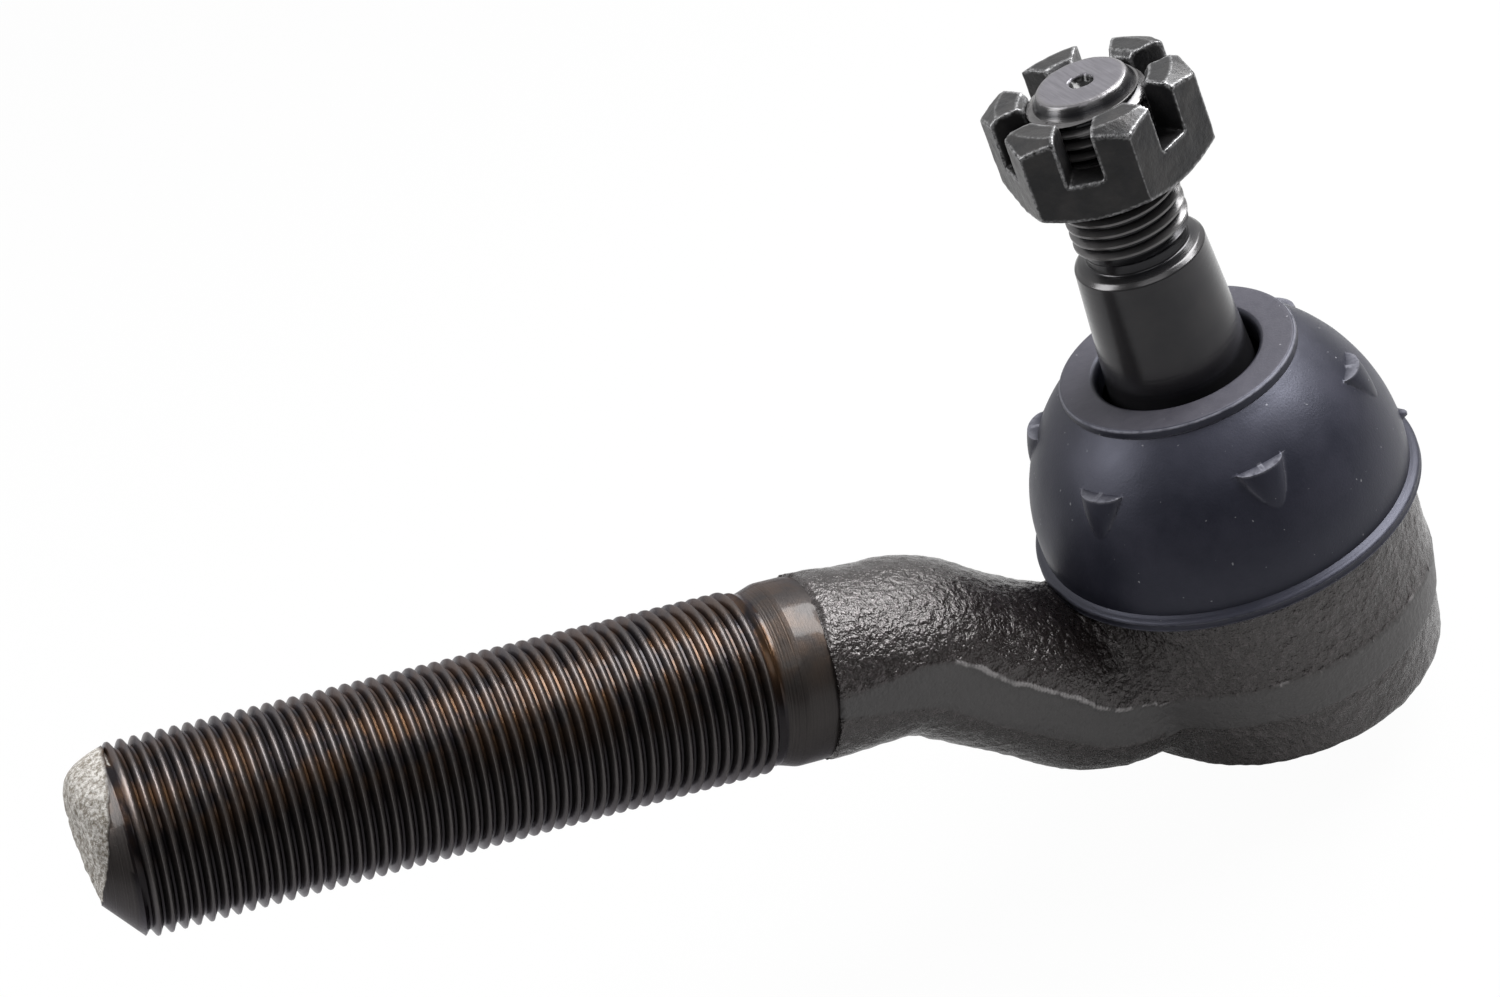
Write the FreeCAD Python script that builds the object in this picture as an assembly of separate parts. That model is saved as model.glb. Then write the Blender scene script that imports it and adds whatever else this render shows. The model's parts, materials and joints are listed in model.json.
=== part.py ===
import FreeCAD, Part
import math
import os

# Outer tie rod end: a forged housing with a threaded shank, a spring-loaded
# tilting stud, an open-lip dust cover and a slotted nut.
# Millimetres. The origin is the centre of the ball, +Z runs up the stud at
# rest, and the shank leaves toward -X, rising as it goes.

# ---- driving dimensions ----------------------------------------------------
# threaded shank, measured along its own axis from the ball's centre
SHANK_RISE_DEG = 18.7          # the shank's angle above the plane of the socket
SHANK_D = 22.0                 # M22 x 1.5 thread, major diameter
THREAD_START = 66.0            # where the full cylinder of the thread begins
THREAD_LENGTH = 74.2
SHANK_BEVEL = 2.5              # radial depth of the bevel at the free end
SHANK_BEVEL_LENGTH = 3.0
COLLAR_PROUD = 0.05            # turned collar over the thread, radial
COLLAR_START = 59.6
COLLAR_LENGTH = 3.6
RELIEF_DEPTH = 0.8             # depth of the cone beside the thread, radial

# forged neck between the collar and the socket
NECK_WIDTH = 23.8              # across the sides, before the parting flats
NECK_HEIGHT = 20.8
NECK_FLAT_DEPTH = 0.5          # trimmed off each side along the parting line
NECK_SLOPE_DEG = 47.0          # how steeply the neck drops to the socket
UPPER_KNEE = 46.0              # along the shank's axis from the ball's centre
NECK_END_Z = -6.2              # height of the neck where it meets the socket
UPPER_BEND_R = 15.0
LOWER_BEND_R = 13.0

# ball, and the socket round it
BALL_D = 26.0
SOCKET_TOP_D = 44.8
SOCKET_DRAFT = 1.9             # the socket's foot is this much smaller, radial
SOCKET_TOP_Z = 8.2
SOCKET_CHAMFER = 1.2
THROAT_DEPTH = 1.7             # flared mouth above the spherical seat
THROAT_FLARE = 2.1
SEAT_WALL = 1.5                # lower seat's wall at the ball's equator
SEAT_FLOOR = 1.3               # lower seat under the ball
SEAT_HOLE_D = 8.8
SEAT_DROP = 1.0                # the seat's rim under the ball's equator
SEAT_ROOM = 0.5                # between that rim and the end of its bore
SEAT_FREE = 0.75               # wear take-up between seat and end cover
COVER_STEP = 1.0               # ledge that the end cover rests on
COVER_THICK = 1.4
COVER_DISH_INSET = 0.9         # inside the rolled lip
COVER_DISH_DEPTH = 2.2
ROLLED_LIP_REACH = 2.1
ROLLED_LIP_THICK = 1.3
ROLLED_LIP_RECESS = 0.25

# stud
HEAD_CUT = 4.5                 # flat taken off the bottom of the ball
SPLIT_Z = 0.45                 # top of the stud's head, under the half ball
HALF_BALL_STAND = 0.9          # half ball's top above the spherical seat
STUD_NECK_D = 14.0
STUD_NECK_LENGTH = 15.5        # above the ball's centre
NECK_CONE_LENGTH = 5.0
TAPER_TOP_Z = 46.6
TAPER_PER_MM = 1.0 / 8.0       # 1:8 on diameter
TAPER_SHOULDER = 0.9           # the taper's small end over the thread, radial
STUD_THREAD_D = 13.9           # M14 x 1.5 thread, major diameter
STUD_RELIEF_DEPTH = 0.75
STUD_RELIEF_LENGTH = 1.6
STUD_PROUD = 0.75              # above the nut
STUD_END_CHAMFER = 1.6
COTTER_HOLE_D = 3.2
COTTER_CLEAR = 0.4             # hole above the floor of the nut's slots

# disc spring
SPRING_THICK = 1.2
SPRING_INSET = 0.6             # its hole outside the seat's hole, radial
SPRING_ROOM = 0.5              # inside the cover's dish, radial

# dust cover
RIM_OVERHANG = 1.6             # over the socket's edge
RIM_CLEAR = 0.5                # round the rim, where the seat is faced flat
COVER_RIM_HEIGHT = 1.7
DOME_SETBACK = 1.0             # dome inside the rim
DOME_CENTRE_UP = 3.4           # above the rim's underside
DOME_WALL = 2.8
CROWN_LAND = 4.6               # width of the flat crown
CROWN_TOP_UP = 22.6            # above the rim's underside
CROWN_EDGE = 1.3
CROWN_THICK = 3.4
CROWN_GAP = 1.1                # round the stud's taper

# slotted nut
NUT_ACROSS_FLATS = 22.0
NUT_HEIGHT = 11.0
NUT_STAND_OFF = 11.05          # above the top of the taper
NUT_TURN_DEG = 143.6           # where the first corner points
NUT_SLOT_WIDTH = 4.2
NUT_SLOT_DEPTH = 6.2
NUT_CHAMFER_DEG = 30.0
NUT_TOP_CHAMFER = 0.7          # inside the flats at the top, radial
NUT_FOOT_CHAMFER = 0.22        # inside the flats at the foot, radial
NUT_MOUTH_CHAMFER = 0.7
PIN_SLOT = 0                   # which face's slot lines up with the cotter hole

# grease fitting, M6 x 1
FITTING_THREAD_D = 6.0
FITTING_THREAD_IN = 0.5        # how far the thread stands inside the cover
FITTING_HEX = 7.0
FITTING_HEX_HEIGHT = 3.4
FITTING_NECK_D = 4.8
FITTING_NECK_LENGTH = 2.0
FITTING_HEAD_D = 6.5
FITTING_HEAD_LENGTH = 3.6
FITTING_TIP_D = 4.0
FITTING_MOUTH_LENGTH = 1.1
CHECK_BALL_D = 2.5
CHECK_BALL_ROOM = 0.2          # radial, ball in the fitting's bore
CHECK_MOUTH_LAP = 0.5          # the mouth is smaller than the ball, radial
CHECK_FEED_LAP = 0.55          # the feed hole is smaller than the bore, radial
CHECK_SPRING_LENGTH = 4.4
CHECK_SPRING_D = 2.1
CHECK_SPRING_WIRE = 0.4
CHECK_SPRING_TURNS = 5

# clearances
BALL_GAP = 0.05                # radial, ball in its seats
STUD_GAP = 0.05                # radial, stud in the half ball
THREAD_GAP = 0.05              # radial, stud's thread in the nut
SPLIT_GAP = 0.05               # between the head and the half ball
SEAT_GAP = 0.05                # radial, lower seat in its bore
COVER_GAP = 0.05               # radial, end cover in its bore
RIM_GAP = 0.05                 # under the dust cover's rim
CHECK_GAP = 0.04               # check ball off its seat, spring off its step

# ---- worked out from the above ---------------------------------------------
V = FreeCAD.Vector
RISE = math.radians(SHANK_RISE_DEG)
SLOPE = math.radians(NECK_SLOPE_DEG)
SHANK_DIR = V(-math.cos(RISE), 0, math.sin(RISE))
COLLAR_D = SHANK_D + 2 * COLLAR_PROUD

CUP_R = BALL_D / 2 + BALL_GAP
THROAT_Z = SOCKET_TOP_Z - THROAT_DEPTH
THROAT_D = 2 * math.sqrt(CUP_R ** 2 - THROAT_Z ** 2)
HALF_BALL_TOP_Z = THROAT_Z + HALF_BALL_STAND
HEAD_BOTTOM_Z = -(BALL_D / 2 - HEAD_CUT)
SEAT_BORE_D = BALL_D + 2 * SEAT_WALL
SEAT_TOP_Z = -SEAT_DROP
SEAT_BORE_TOP_Z = SEAT_TOP_Z + SEAT_ROOM
SEAT_BOTTOM_Z = -math.sqrt(CUP_R ** 2 - (SEAT_HOLE_D / 2) ** 2) - SEAT_FLOOR
COVER_BORE_D = SEAT_BORE_D + 2 * COVER_STEP
COVER_TOP_Z = SEAT_BOTTOM_Z - SEAT_FREE
COVER_FLOOR_Z = COVER_TOP_Z - COVER_DISH_DEPTH
COVER_FACE_Z = COVER_FLOOR_Z - COVER_THICK
ROLLED_LIP_D = COVER_BORE_D - 2 * ROLLED_LIP_REACH
COVER_DISH_D = ROLLED_LIP_D - 2 * COVER_DISH_INSET
LIP_FOOT_Z = COVER_TOP_Z - COVER_THICK - ROLLED_LIP_THICK
SOCKET_FOOT_Z = LIP_FOOT_Z - ROLLED_LIP_RECESS
SOCKET_FOOT_D = SOCKET_TOP_D - 2 * SOCKET_DRAFT

TAPER_TOP_D = STUD_THREAD_D + 2 * TAPER_SHOULDER
NUT_BOTTOM_Z = TAPER_TOP_Z + NUT_STAND_OFF
NUT_TOP_Z = NUT_BOTTOM_Z + NUT_HEIGHT
NUT_CORNER_R = NUT_ACROSS_FLATS / math.sqrt(3)
SLOT_FLOOR_Z = NUT_TOP_Z - NUT_SLOT_DEPTH
SLOT_DEGS = [NUT_TURN_DEG + 30 + 60 * k for k in range(3)]
STUD_TOP_Z = NUT_TOP_Z + STUD_PROUD

RIM_FOOT_Z = SOCKET_TOP_Z + RIM_GAP
COVER_RIM_D = SOCKET_TOP_D + 2 * RIM_OVERHANG
DOME_R = COVER_RIM_D / 2 - DOME_SETBACK
CROWN_TOP_Z = RIM_FOOT_Z + CROWN_TOP_UP
CROWN_HOLE_D = TAPER_TOP_D + TAPER_PER_MM * (TAPER_TOP_Z - CROWN_TOP_Z) + 2 * CROWN_GAP
CROWN_D = CROWN_HOLE_D + 2 * CROWN_LAND

FITTING_TOP_Z = COVER_FLOOR_Z + FITTING_THREAD_IN
HEX_FOOT_Z = COVER_FACE_Z - FITTING_HEX_HEIGHT
FITTING_NECK_Z = HEX_FOOT_Z - FITTING_NECK_LENGTH
FITTING_TIP_Z = FITTING_NECK_Z - FITTING_HEAD_LENGTH
FITTING_BORE_D = CHECK_BALL_D + 2 * CHECK_BALL_ROOM
FITTING_MOUTH_D = CHECK_BALL_D - 2 * CHECK_MOUTH_LAP
FITTING_FEED_D = FITTING_BORE_D - 2 * CHECK_FEED_LAP
SEAT_CONE_LOW_Z = FITTING_TIP_Z + FITTING_MOUTH_LENGTH
SEAT_CONE_HIGH_Z = SEAT_CONE_LOW_Z + (FITTING_BORE_D - FITTING_MOUTH_D) / 2
CHECK_CONTACT = CHECK_BALL_D / 2 / math.sqrt(2)
CHECK_BALL_Z = SEAT_CONE_LOW_Z + 2 * CHECK_CONTACT - FITTING_MOUTH_D / 2 + CHECK_GAP
CHECK_COIL_R = (CHECK_SPRING_D - CHECK_SPRING_WIRE) / 2
CHECK_SPRING_LOW_Z = (CHECK_BALL_Z + math.sqrt((CHECK_BALL_D / 2) ** 2 - CHECK_COIL_R ** 2)
                      + CHECK_SPRING_WIRE)
CHECK_SPRING_HIGH_Z = CHECK_SPRING_LOW_Z + CHECK_SPRING_LENGTH
FEED_STEP_Z = CHECK_SPRING_HIGH_Z + CHECK_SPRING_WIRE / 2 + CHECK_GAP


def turned(points):
    """Solid of revolution about +Z from a list of (radius, height) corners."""
    corners = [V(r, 0, z) for r, z in points]
    corners.append(corners[0])
    face = Part.Face(Part.makePolygon(corners))
    return face.revolve(V(0, 0, 0), V(0, 0, 1), 360)


def cylinder(d, low, high):
    return Part.makeCylinder(d / 2, high - low, V(0, 0, low))


def cone(d_low, d_high, low, high):
    return Part.makeCone(d_low / 2, d_high / 2, high - low, V(0, 0, low))


def ball(d, centre_z=0.0):
    return Part.makeSphere(d / 2, V(0, 0, centre_z))


def hex_prism(across_flats, low, height, first_corner_deg):
    corner_r = across_flats / math.sqrt(3)
    turns = [math.radians(first_corner_deg + 60 * k) for k in range(7)]
    corners = [V(corner_r * math.cos(a), corner_r * math.sin(a), low) for a in turns]
    return Part.Face(Part.makePolygon(corners)).extrude(V(0, 0, height))


def along_shank(solid):
    """Turn a solid made about +Z so that it lies on the shank's axis."""
    turn = FreeCAD.Rotation(V(0, 0, 1), SHANK_DIR)
    solid.Placement = FreeCAD.Placement(V(0, 0, 0), turn)
    return solid


def whole(shape):
    """The single clean solid that a feature tree ends in."""
    shape = shape.removeSplitter()
    return shape.Solids[0] if len(shape.Solids) == 1 else shape


# ---- the forging: shank, collar, neck and socket ---------------------------
def shank():
    thread_end = THREAD_START + THREAD_LENGTH
    collar_end = COLLAR_START + COLLAR_LENGTH
    rod = cylinder(SHANK_D, THREAD_START, thread_end)
    bevel = cone(SHANK_D, SHANK_D - 2 * SHANK_BEVEL, thread_end, thread_end + SHANK_BEVEL_LENGTH)
    collar = cylinder(COLLAR_D, COLLAR_START, collar_end)
    relief = cone(COLLAR_D, SHANK_D - 2 * RELIEF_DEPTH, collar_end, THREAD_START)
    return along_shank(rod.fuse([bevel, relief, collar]))


def neck_section(centre, heading):
    """Cross-section of the neck: an oval with its two parting flats."""
    across = V(0, 1, 0)
    upright = heading.cross(across)
    half_w = NECK_WIDTH / 2
    half_h = NECK_HEIGHT / 2
    oval = Part.Ellipse(centre + across * half_w, centre + upright * half_h, centre)
    disc = Part.Face(Part.Wire(oval.toShape()))
    flat = half_w - NECK_FLAT_DEPTH
    corners = [centre + across * (y * flat) + upright * (z * half_w)
               for y, z in ((-1, -1), (1, -1), (1, 1), (-1, 1), (-1, -1))]
    window = Part.Face(Part.makePolygon(corners))
    return disc.common(window).Faces[0]


def neck():
    """The oval swept down the upper bend, the slope and the lower bend."""
    down = V(math.cos(SLOPE), 0, -math.sin(SLOPE))
    level = V(1, 0, 0)
    start = SHANK_DIR * COLLAR_START
    knee = SHANK_DIR * UPPER_KNEE
    foot = knee + down * ((knee.z - NECK_END_Z) / math.sin(SLOPE))
    inward = SHANK_DIR * -1
    pieces = []
    here = start
    heading = inward
    for corner, after, radius in ((knee, down, UPPER_BEND_R), (foot, level, LOWER_BEND_R)):
        bend = heading.getAngle(after)
        setback = radius * math.tan(bend / 2)
        bend_start = corner - heading * setback
        pieces.append(neck_section(here, heading).extrude(bend_start - here))
        turn_axis = heading.cross(after)
        to_centre = turn_axis.cross(heading)
        to_centre.normalize()
        pivot = bend_start + to_centre * radius
        section = neck_section(bend_start, heading)
        pieces.append(section.revolve(pivot, turn_axis, math.degrees(bend)))
        here = corner + after * setback
        heading = after
    inside_socket = V(-SEAT_BORE_D / 2 + 2, 0, NECK_END_Z)
    pieces.append(neck_section(here, heading).extrude(inside_socket - here))
    return pieces[0].fuse(pieces[1:])


def socket_body():
    top = SOCKET_TOP_D / 2
    foot = SOCKET_FOOT_D / 2
    return turned([(0, SOCKET_FOOT_Z), (foot - SOCKET_CHAMFER, SOCKET_FOOT_Z),
                   (foot, SOCKET_FOOT_Z + SOCKET_CHAMFER), (top, SOCKET_TOP_Z - SOCKET_CHAMFER / 2),
                   (top - SOCKET_CHAMFER / 2, SOCKET_TOP_Z), (0, SOCKET_TOP_Z)])


def socket_cavity():
    seat = ball(2 * CUP_R)
    overrun = 1.0
    mouth_d = THROAT_D + 2 * THROAT_FLARE * (1 + overrun / THROAT_DEPTH)
    mouth = cone(THROAT_D, mouth_d, THROAT_Z, SOCKET_TOP_Z + overrun)
    below_throat = cylinder(BALL_D * 2, SEAT_BORE_TOP_Z - BALL_D, THROAT_Z)
    bore = cylinder(SEAT_BORE_D, COVER_TOP_Z - overrun, SEAT_BORE_TOP_Z)
    cover_room = cylinder(COVER_BORE_D, COVER_TOP_Z - COVER_THICK, COVER_TOP_Z)
    lip_hole = cylinder(ROLLED_LIP_D, SOCKET_FOOT_Z - overrun, COVER_TOP_Z)
    lip_relief = cylinder(COVER_BORE_D, SOCKET_FOOT_Z - overrun, LIP_FOOT_Z)
    return seat.common(below_throat).fuse([mouth, bore, cover_room, lip_hole, lip_relief])


def rim_facing():
    """Cut that faces the socket's top flat where the neck rises past it."""
    return cylinder(COVER_RIM_D + 2 * RIM_CLEAR, SOCKET_TOP_Z, CROWN_TOP_Z)


def housing():
    outside = socket_body().fuse([neck(), shank()])
    return whole(outside.cut([socket_cavity(), rim_facing()]))


# ---- stud and bearings -----------------------------------------------------
def taper_d(z):
    return TAPER_TOP_D + TAPER_PER_MM * (TAPER_TOP_Z - z)


def ball_stud():
    head = ball(BALL_D).common(cylinder(BALL_D * 2, HEAD_BOTTOM_Z, SPLIT_Z))
    neck_r = STUD_NECK_D / 2
    thread_r = STUD_THREAD_D / 2
    relief_r = thread_r - STUD_RELIEF_DEPTH
    taper_root_z = STUD_NECK_LENGTH + NECK_CONE_LENGTH
    thread_start = TAPER_TOP_Z + STUD_RELIEF_LENGTH
    shaft = turned([(0, HEAD_BOTTOM_Z), (neck_r, HEAD_BOTTOM_Z), (neck_r, STUD_NECK_LENGTH),
                    (taper_d(taper_root_z) / 2, taper_root_z), (TAPER_TOP_D / 2, TAPER_TOP_Z),
                    (relief_r, TAPER_TOP_Z + STUD_RELIEF_LENGTH / 2), (relief_r, thread_start),
                    (thread_r, thread_start), (thread_r, STUD_TOP_Z - STUD_END_CHAMFER),
                    (thread_r - STUD_END_CHAMFER, STUD_TOP_Z), (0, STUD_TOP_Z)])
    return whole(head.fuse(shaft).cut(cotter_drill()))


def cotter_drill():
    """Drill for the split pin, through the thread behind one pair of slots."""
    angle = math.radians(SLOT_DEGS[PIN_SLOT])
    along = V(math.cos(angle), math.sin(angle), 0)
    centre_z = SLOT_FLOOR_Z + COTTER_HOLE_D / 2 + COTTER_CLEAR
    reach = STUD_THREAD_D
    return Part.makeCylinder(COTTER_HOLE_D / 2, 2 * reach, V(0, 0, centre_z) - along * reach, along)


def half_ball_bearing():
    shell = ball(BALL_D).common(cylinder(BALL_D * 2, SPLIT_Z + SPLIT_GAP, HALF_BALL_TOP_Z))
    return whole(shell.cut(cylinder(STUD_NECK_D + 2 * STUD_GAP, SPLIT_Z - 1, HALF_BALL_TOP_Z + 1)))


def lower_bearing_seat():
    block = cylinder(SEAT_BORE_D - 2 * SEAT_GAP, SEAT_BOTTOM_Z, SEAT_TOP_Z)
    hollow = ball(2 * CUP_R)
    feed = cylinder(SEAT_HOLE_D, SEAT_BOTTOM_Z - 1, SEAT_TOP_Z)
    return whole(block.cut(hollow).cut(feed))


def preload_spring():
    """Coned disc spring, squeezed between the lower seat and the end cover."""
    inner = SEAT_HOLE_D / 2 + SPRING_INSET
    outer = COVER_DISH_D / 2 - COVER_DISH_DEPTH / 2 - SPRING_ROOM
    return turned([(inner, SEAT_BOTTOM_Z), (inner, SEAT_BOTTOM_Z - SPRING_THICK),
                   (outer, COVER_FLOOR_Z), (outer, COVER_FLOOR_Z + SPRING_THICK)])


def end_cover_plate():
    edge = COVER_BORE_D / 2 - COVER_GAP
    dish = COVER_DISH_D / 2
    slant = COVER_DISH_DEPTH / 2
    hole = FITTING_THREAD_D / 2
    return turned([(edge, COVER_TOP_Z), (edge, COVER_TOP_Z - COVER_THICK),
                   (dish, COVER_TOP_Z - COVER_THICK), (dish - slant, COVER_FACE_Z),
                   (hole, COVER_FACE_Z), (hole, COVER_FLOOR_Z),
                   (dish - slant, COVER_FLOOR_Z), (dish, COVER_TOP_Z)])


# ---- dust cover ------------------------------------------------------------
def dust_boot():
    dome_z = RIM_FOOT_Z + DOME_CENTRE_UP
    crown_low = CROWN_TOP_Z - CROWN_EDGE
    rim = cylinder(COVER_RIM_D, RIM_FOOT_Z, RIM_FOOT_Z + COVER_RIM_HEIGHT)
    below_crown = cylinder(COVER_RIM_D * 2, RIM_FOOT_Z, CROWN_TOP_Z - CROWN_EDGE / 2)
    dome = ball(2 * DOME_R, dome_z).common(below_crown)
    crown = cylinder(CROWN_D, crown_low, CROWN_TOP_Z)
    room = cylinder(COVER_RIM_D * 2, RIM_FOOT_Z - 1, CROWN_TOP_Z - CROWN_THICK)
    inside = ball(2 * (DOME_R - DOME_WALL), dome_z).common(room)
    hole = cylinder(CROWN_HOLE_D, CROWN_TOP_Z - DOME_R, CROWN_TOP_Z + 1)
    return whole(dome.fuse([rim, crown]).cut(inside).cut(hole))


# ---- slotted nut -----------------------------------------------------------
def castle_nut():
    hexagon = hex_prism(NUT_ACROSS_FLATS, NUT_BOTTOM_Z, NUT_HEIGHT, NUT_TURN_DEG)
    slope = math.tan(math.radians(NUT_CHAMFER_DEG))
    wide = NUT_CORNER_R + 1
    top_r = NUT_ACROSS_FLATS / 2 - NUT_TOP_CHAMFER
    foot_r = NUT_ACROSS_FLATS / 2 - NUT_FOOT_CHAMFER
    envelope = turned([(0, NUT_BOTTOM_Z), (foot_r, NUT_BOTTOM_Z),
                       (wide, NUT_BOTTOM_Z + (wide - foot_r) * slope),
                       (wide, NUT_TOP_Z - (wide - top_r) * slope),
                       (top_r, NUT_TOP_Z), (0, NUT_TOP_Z)])
    bore_d = STUD_THREAD_D + 2 * THREAD_GAP
    mouth_d = bore_d + 2 * NUT_MOUTH_CHAMFER
    foot_mouth = cone(mouth_d, bore_d, NUT_BOTTOM_Z, NUT_BOTTOM_Z + NUT_MOUTH_CHAMFER)
    top_mouth = cone(bore_d, mouth_d, NUT_TOP_Z - NUT_MOUTH_CHAMFER, NUT_TOP_Z)
    cuts = [cylinder(bore_d, NUT_BOTTOM_Z - 1, NUT_TOP_Z + 1), foot_mouth, top_mouth]
    for angle in SLOT_DEGS:
        slot = Part.makeBox(NUT_CORNER_R * 3, NUT_SLOT_WIDTH, NUT_SLOT_DEPTH + 1,
                            V(-NUT_CORNER_R * 1.5, -NUT_SLOT_WIDTH / 2, SLOT_FLOOR_Z))
        slot.rotate(V(0, 0, 0), V(0, 0, 1), angle)
        cuts.append(slot)
    return whole(hexagon.common(envelope).cut(cuts))


# ---- grease fitting --------------------------------------------------------
def grease_fitting_body():
    hexagon = hex_prism(FITTING_HEX, HEX_FOOT_Z, FITTING_HEX_HEIGHT, 0)
    head_high_z = FITTING_NECK_Z + FITTING_NECK_LENGTH / 2
    shaft = turned([(0, FITTING_TIP_Z), (FITTING_TIP_D / 2, FITTING_TIP_Z),
                    (FITTING_HEAD_D / 2, FITTING_TIP_Z + FITTING_HEAD_LENGTH / 2),
                    (FITTING_HEAD_D / 2, FITTING_NECK_Z), (FITTING_NECK_D / 2, head_high_z),
                    (FITTING_NECK_D / 2, COVER_FACE_Z), (FITTING_THREAD_D / 2, COVER_FACE_Z),
                    (FITTING_THREAD_D / 2, FITTING_TOP_Z), (0, FITTING_TOP_Z)])
    feed = cylinder(FITTING_FEED_D, FEED_STEP_Z - 1, FITTING_TOP_Z + 1)
    bore = cylinder(FITTING_BORE_D, SEAT_CONE_HIGH_Z, FEED_STEP_Z)
    seat = cone(FITTING_MOUTH_D, FITTING_BORE_D, SEAT_CONE_LOW_Z, SEAT_CONE_HIGH_Z)
    mouth = cylinder(FITTING_MOUTH_D, FITTING_TIP_Z - 1, SEAT_CONE_LOW_Z)
    return whole(shaft.fuse(hexagon).cut([feed, bore, seat, mouth]))


def grease_fitting_ball():
    return ball(CHECK_BALL_D, CHECK_BALL_Z)


def grease_fitting_spring():
    pitch = CHECK_SPRING_LENGTH / CHECK_SPRING_TURNS
    spine = Part.makeHelix(pitch, CHECK_SPRING_LENGTH, CHECK_COIL_R)
    ring = Part.Circle(V(CHECK_COIL_R, 0, 0), V(0, 1, 0), CHECK_SPRING_WIRE / 2)
    wire = Part.Wire(ring.toShape())
    coil = Part.Wire(spine.Edges).makePipeShell([wire], True, True)
    coil.translate(V(0, 0, CHECK_SPRING_LOW_Z))
    return coil


NODES = (housing, lower_bearing_seat, preload_spring, end_cover_plate, half_ball_bearing,
         ball_stud, dust_boot, castle_nut, grease_fitting_body, grease_fitting_ball,
         grease_fitting_spring)

os.makedirs("parts", exist_ok=True)
for node in NODES:
    shape = node()
    box = shape.BoundBox
    print(f"{node.__name__:24s} solids {len(shape.Solids)} valid {shape.isValid()} "
          f"volume {shape.Volume:9.2f} z {box.ZMin:7.2f} {box.ZMax:7.2f} x {box.XMin:8.2f} {box.XMax:7.2f}")
    shape.exportStep(f"parts/{node.__name__}.step")
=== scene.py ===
"""Finished surfaces of an outer tie rod end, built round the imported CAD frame.

Lengths inside the making functions are millimetres. The origin is the ball's
centre, +Z runs up the stud, and the shank leaves toward -X, rising.
"""

import itertools
import json
import math

import bmesh
import bpy
import numpy as np
from bpy.props import FloatProperty, FloatVectorProperty, IntProperty, PointerProperty
from bpy.types import Operator, Panel, PropertyGroup
from mathutils import Matrix, Vector


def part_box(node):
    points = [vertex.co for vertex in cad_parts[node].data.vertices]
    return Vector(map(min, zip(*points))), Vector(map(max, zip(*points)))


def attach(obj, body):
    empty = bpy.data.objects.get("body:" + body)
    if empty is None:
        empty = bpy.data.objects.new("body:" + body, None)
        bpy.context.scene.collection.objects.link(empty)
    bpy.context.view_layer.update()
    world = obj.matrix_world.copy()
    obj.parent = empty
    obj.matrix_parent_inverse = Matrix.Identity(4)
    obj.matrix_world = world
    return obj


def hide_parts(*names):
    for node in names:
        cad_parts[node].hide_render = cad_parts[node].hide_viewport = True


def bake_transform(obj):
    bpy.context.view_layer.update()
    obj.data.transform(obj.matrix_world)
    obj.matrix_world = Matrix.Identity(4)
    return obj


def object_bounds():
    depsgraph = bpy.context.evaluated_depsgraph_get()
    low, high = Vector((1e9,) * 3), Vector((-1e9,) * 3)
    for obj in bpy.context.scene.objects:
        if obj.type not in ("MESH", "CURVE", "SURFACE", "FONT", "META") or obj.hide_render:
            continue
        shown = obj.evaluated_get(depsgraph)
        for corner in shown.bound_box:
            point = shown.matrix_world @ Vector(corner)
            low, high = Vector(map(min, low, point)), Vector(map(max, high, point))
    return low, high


bl_info = {
    "name": "Tie rod end",
    "version": (1, 0, 0),
    "blender": (4, 5, 0),
    "location": "View3D > Sidebar > Tie rod end",
    "description": "Builds the visible surfaces of an outer tie rod end round its CAD frame",
    "category": "Object",
}

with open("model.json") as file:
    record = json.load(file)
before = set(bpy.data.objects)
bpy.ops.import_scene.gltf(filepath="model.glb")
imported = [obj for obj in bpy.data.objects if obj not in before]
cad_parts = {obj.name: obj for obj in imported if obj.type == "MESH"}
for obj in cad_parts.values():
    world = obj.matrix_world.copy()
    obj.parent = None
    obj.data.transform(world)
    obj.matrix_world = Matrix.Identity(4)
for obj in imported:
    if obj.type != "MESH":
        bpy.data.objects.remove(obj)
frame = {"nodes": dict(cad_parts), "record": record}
CAD_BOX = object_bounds()

MM = 0.001
TURN = 2 * math.pi

# ---- places read from the frame --------------------------------------------
MOUNTS = {mount["name"]: mount for mount in frame["record"]["mounts"]}
SLEEVE = MOUNTS["sleeve_thread"]
SHANK_AXIS = Vector(SLEEVE["axis"]).normalized()
SHANK_UP = Vector((SHANK_AXIS.z, 0, -SHANK_AXIS.x))
SHANK_R = SLEEVE["dims"]["r_mm"]
THREAD_MIDDLE = Vector(SLEEVE["pos_m"]).dot(SHANK_AXIS) / MM
THREAD_START = THREAD_MIDDLE - SLEEVE["dims"]["length_mm"] / 2
THREAD_END = THREAD_MIDDLE + SLEEVE["dims"]["length_mm"] / 2
TAPER_TOP_Z = MOUNTS["stud_taper"]["pos_m"][2] / MM
COTTER = MOUNTS["cotter_hole"]


def low_z(node):
    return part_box(node)[0].z / MM


def high_z(node):
    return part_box(node)[1].z / MM


BOOT_FOOT_Z = low_z("dust_boot")
STUD_LOW_Z = low_z("ball_stud")
STUD_TOP_Z = high_z("ball_stud")
SOCKET_FOOT_Z = -17.29
SOCKET_RIM_Z = 8.15
BAND_LOW_Z = -9.7
BAND_HIGH_Z = -3.5
BAND_EDGE = 0.6
SEAM_Z = -3.8
NECK_REACH = 24.0       # what stands further out than this is neck, not socket
FORGING_END = 59.6      # along the shank, where the forging meets the collar
FLASH_TAB_TURN = math.radians(-22)


# ---- settings that a user would change -------------------------------------
def size(name, description, millimetres):
    """A length property, given in millimetres and kept in metres."""
    return FloatProperty(name=name, description=description, default=millimetres * MM,
                         precision=5, unit="LENGTH")


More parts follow.
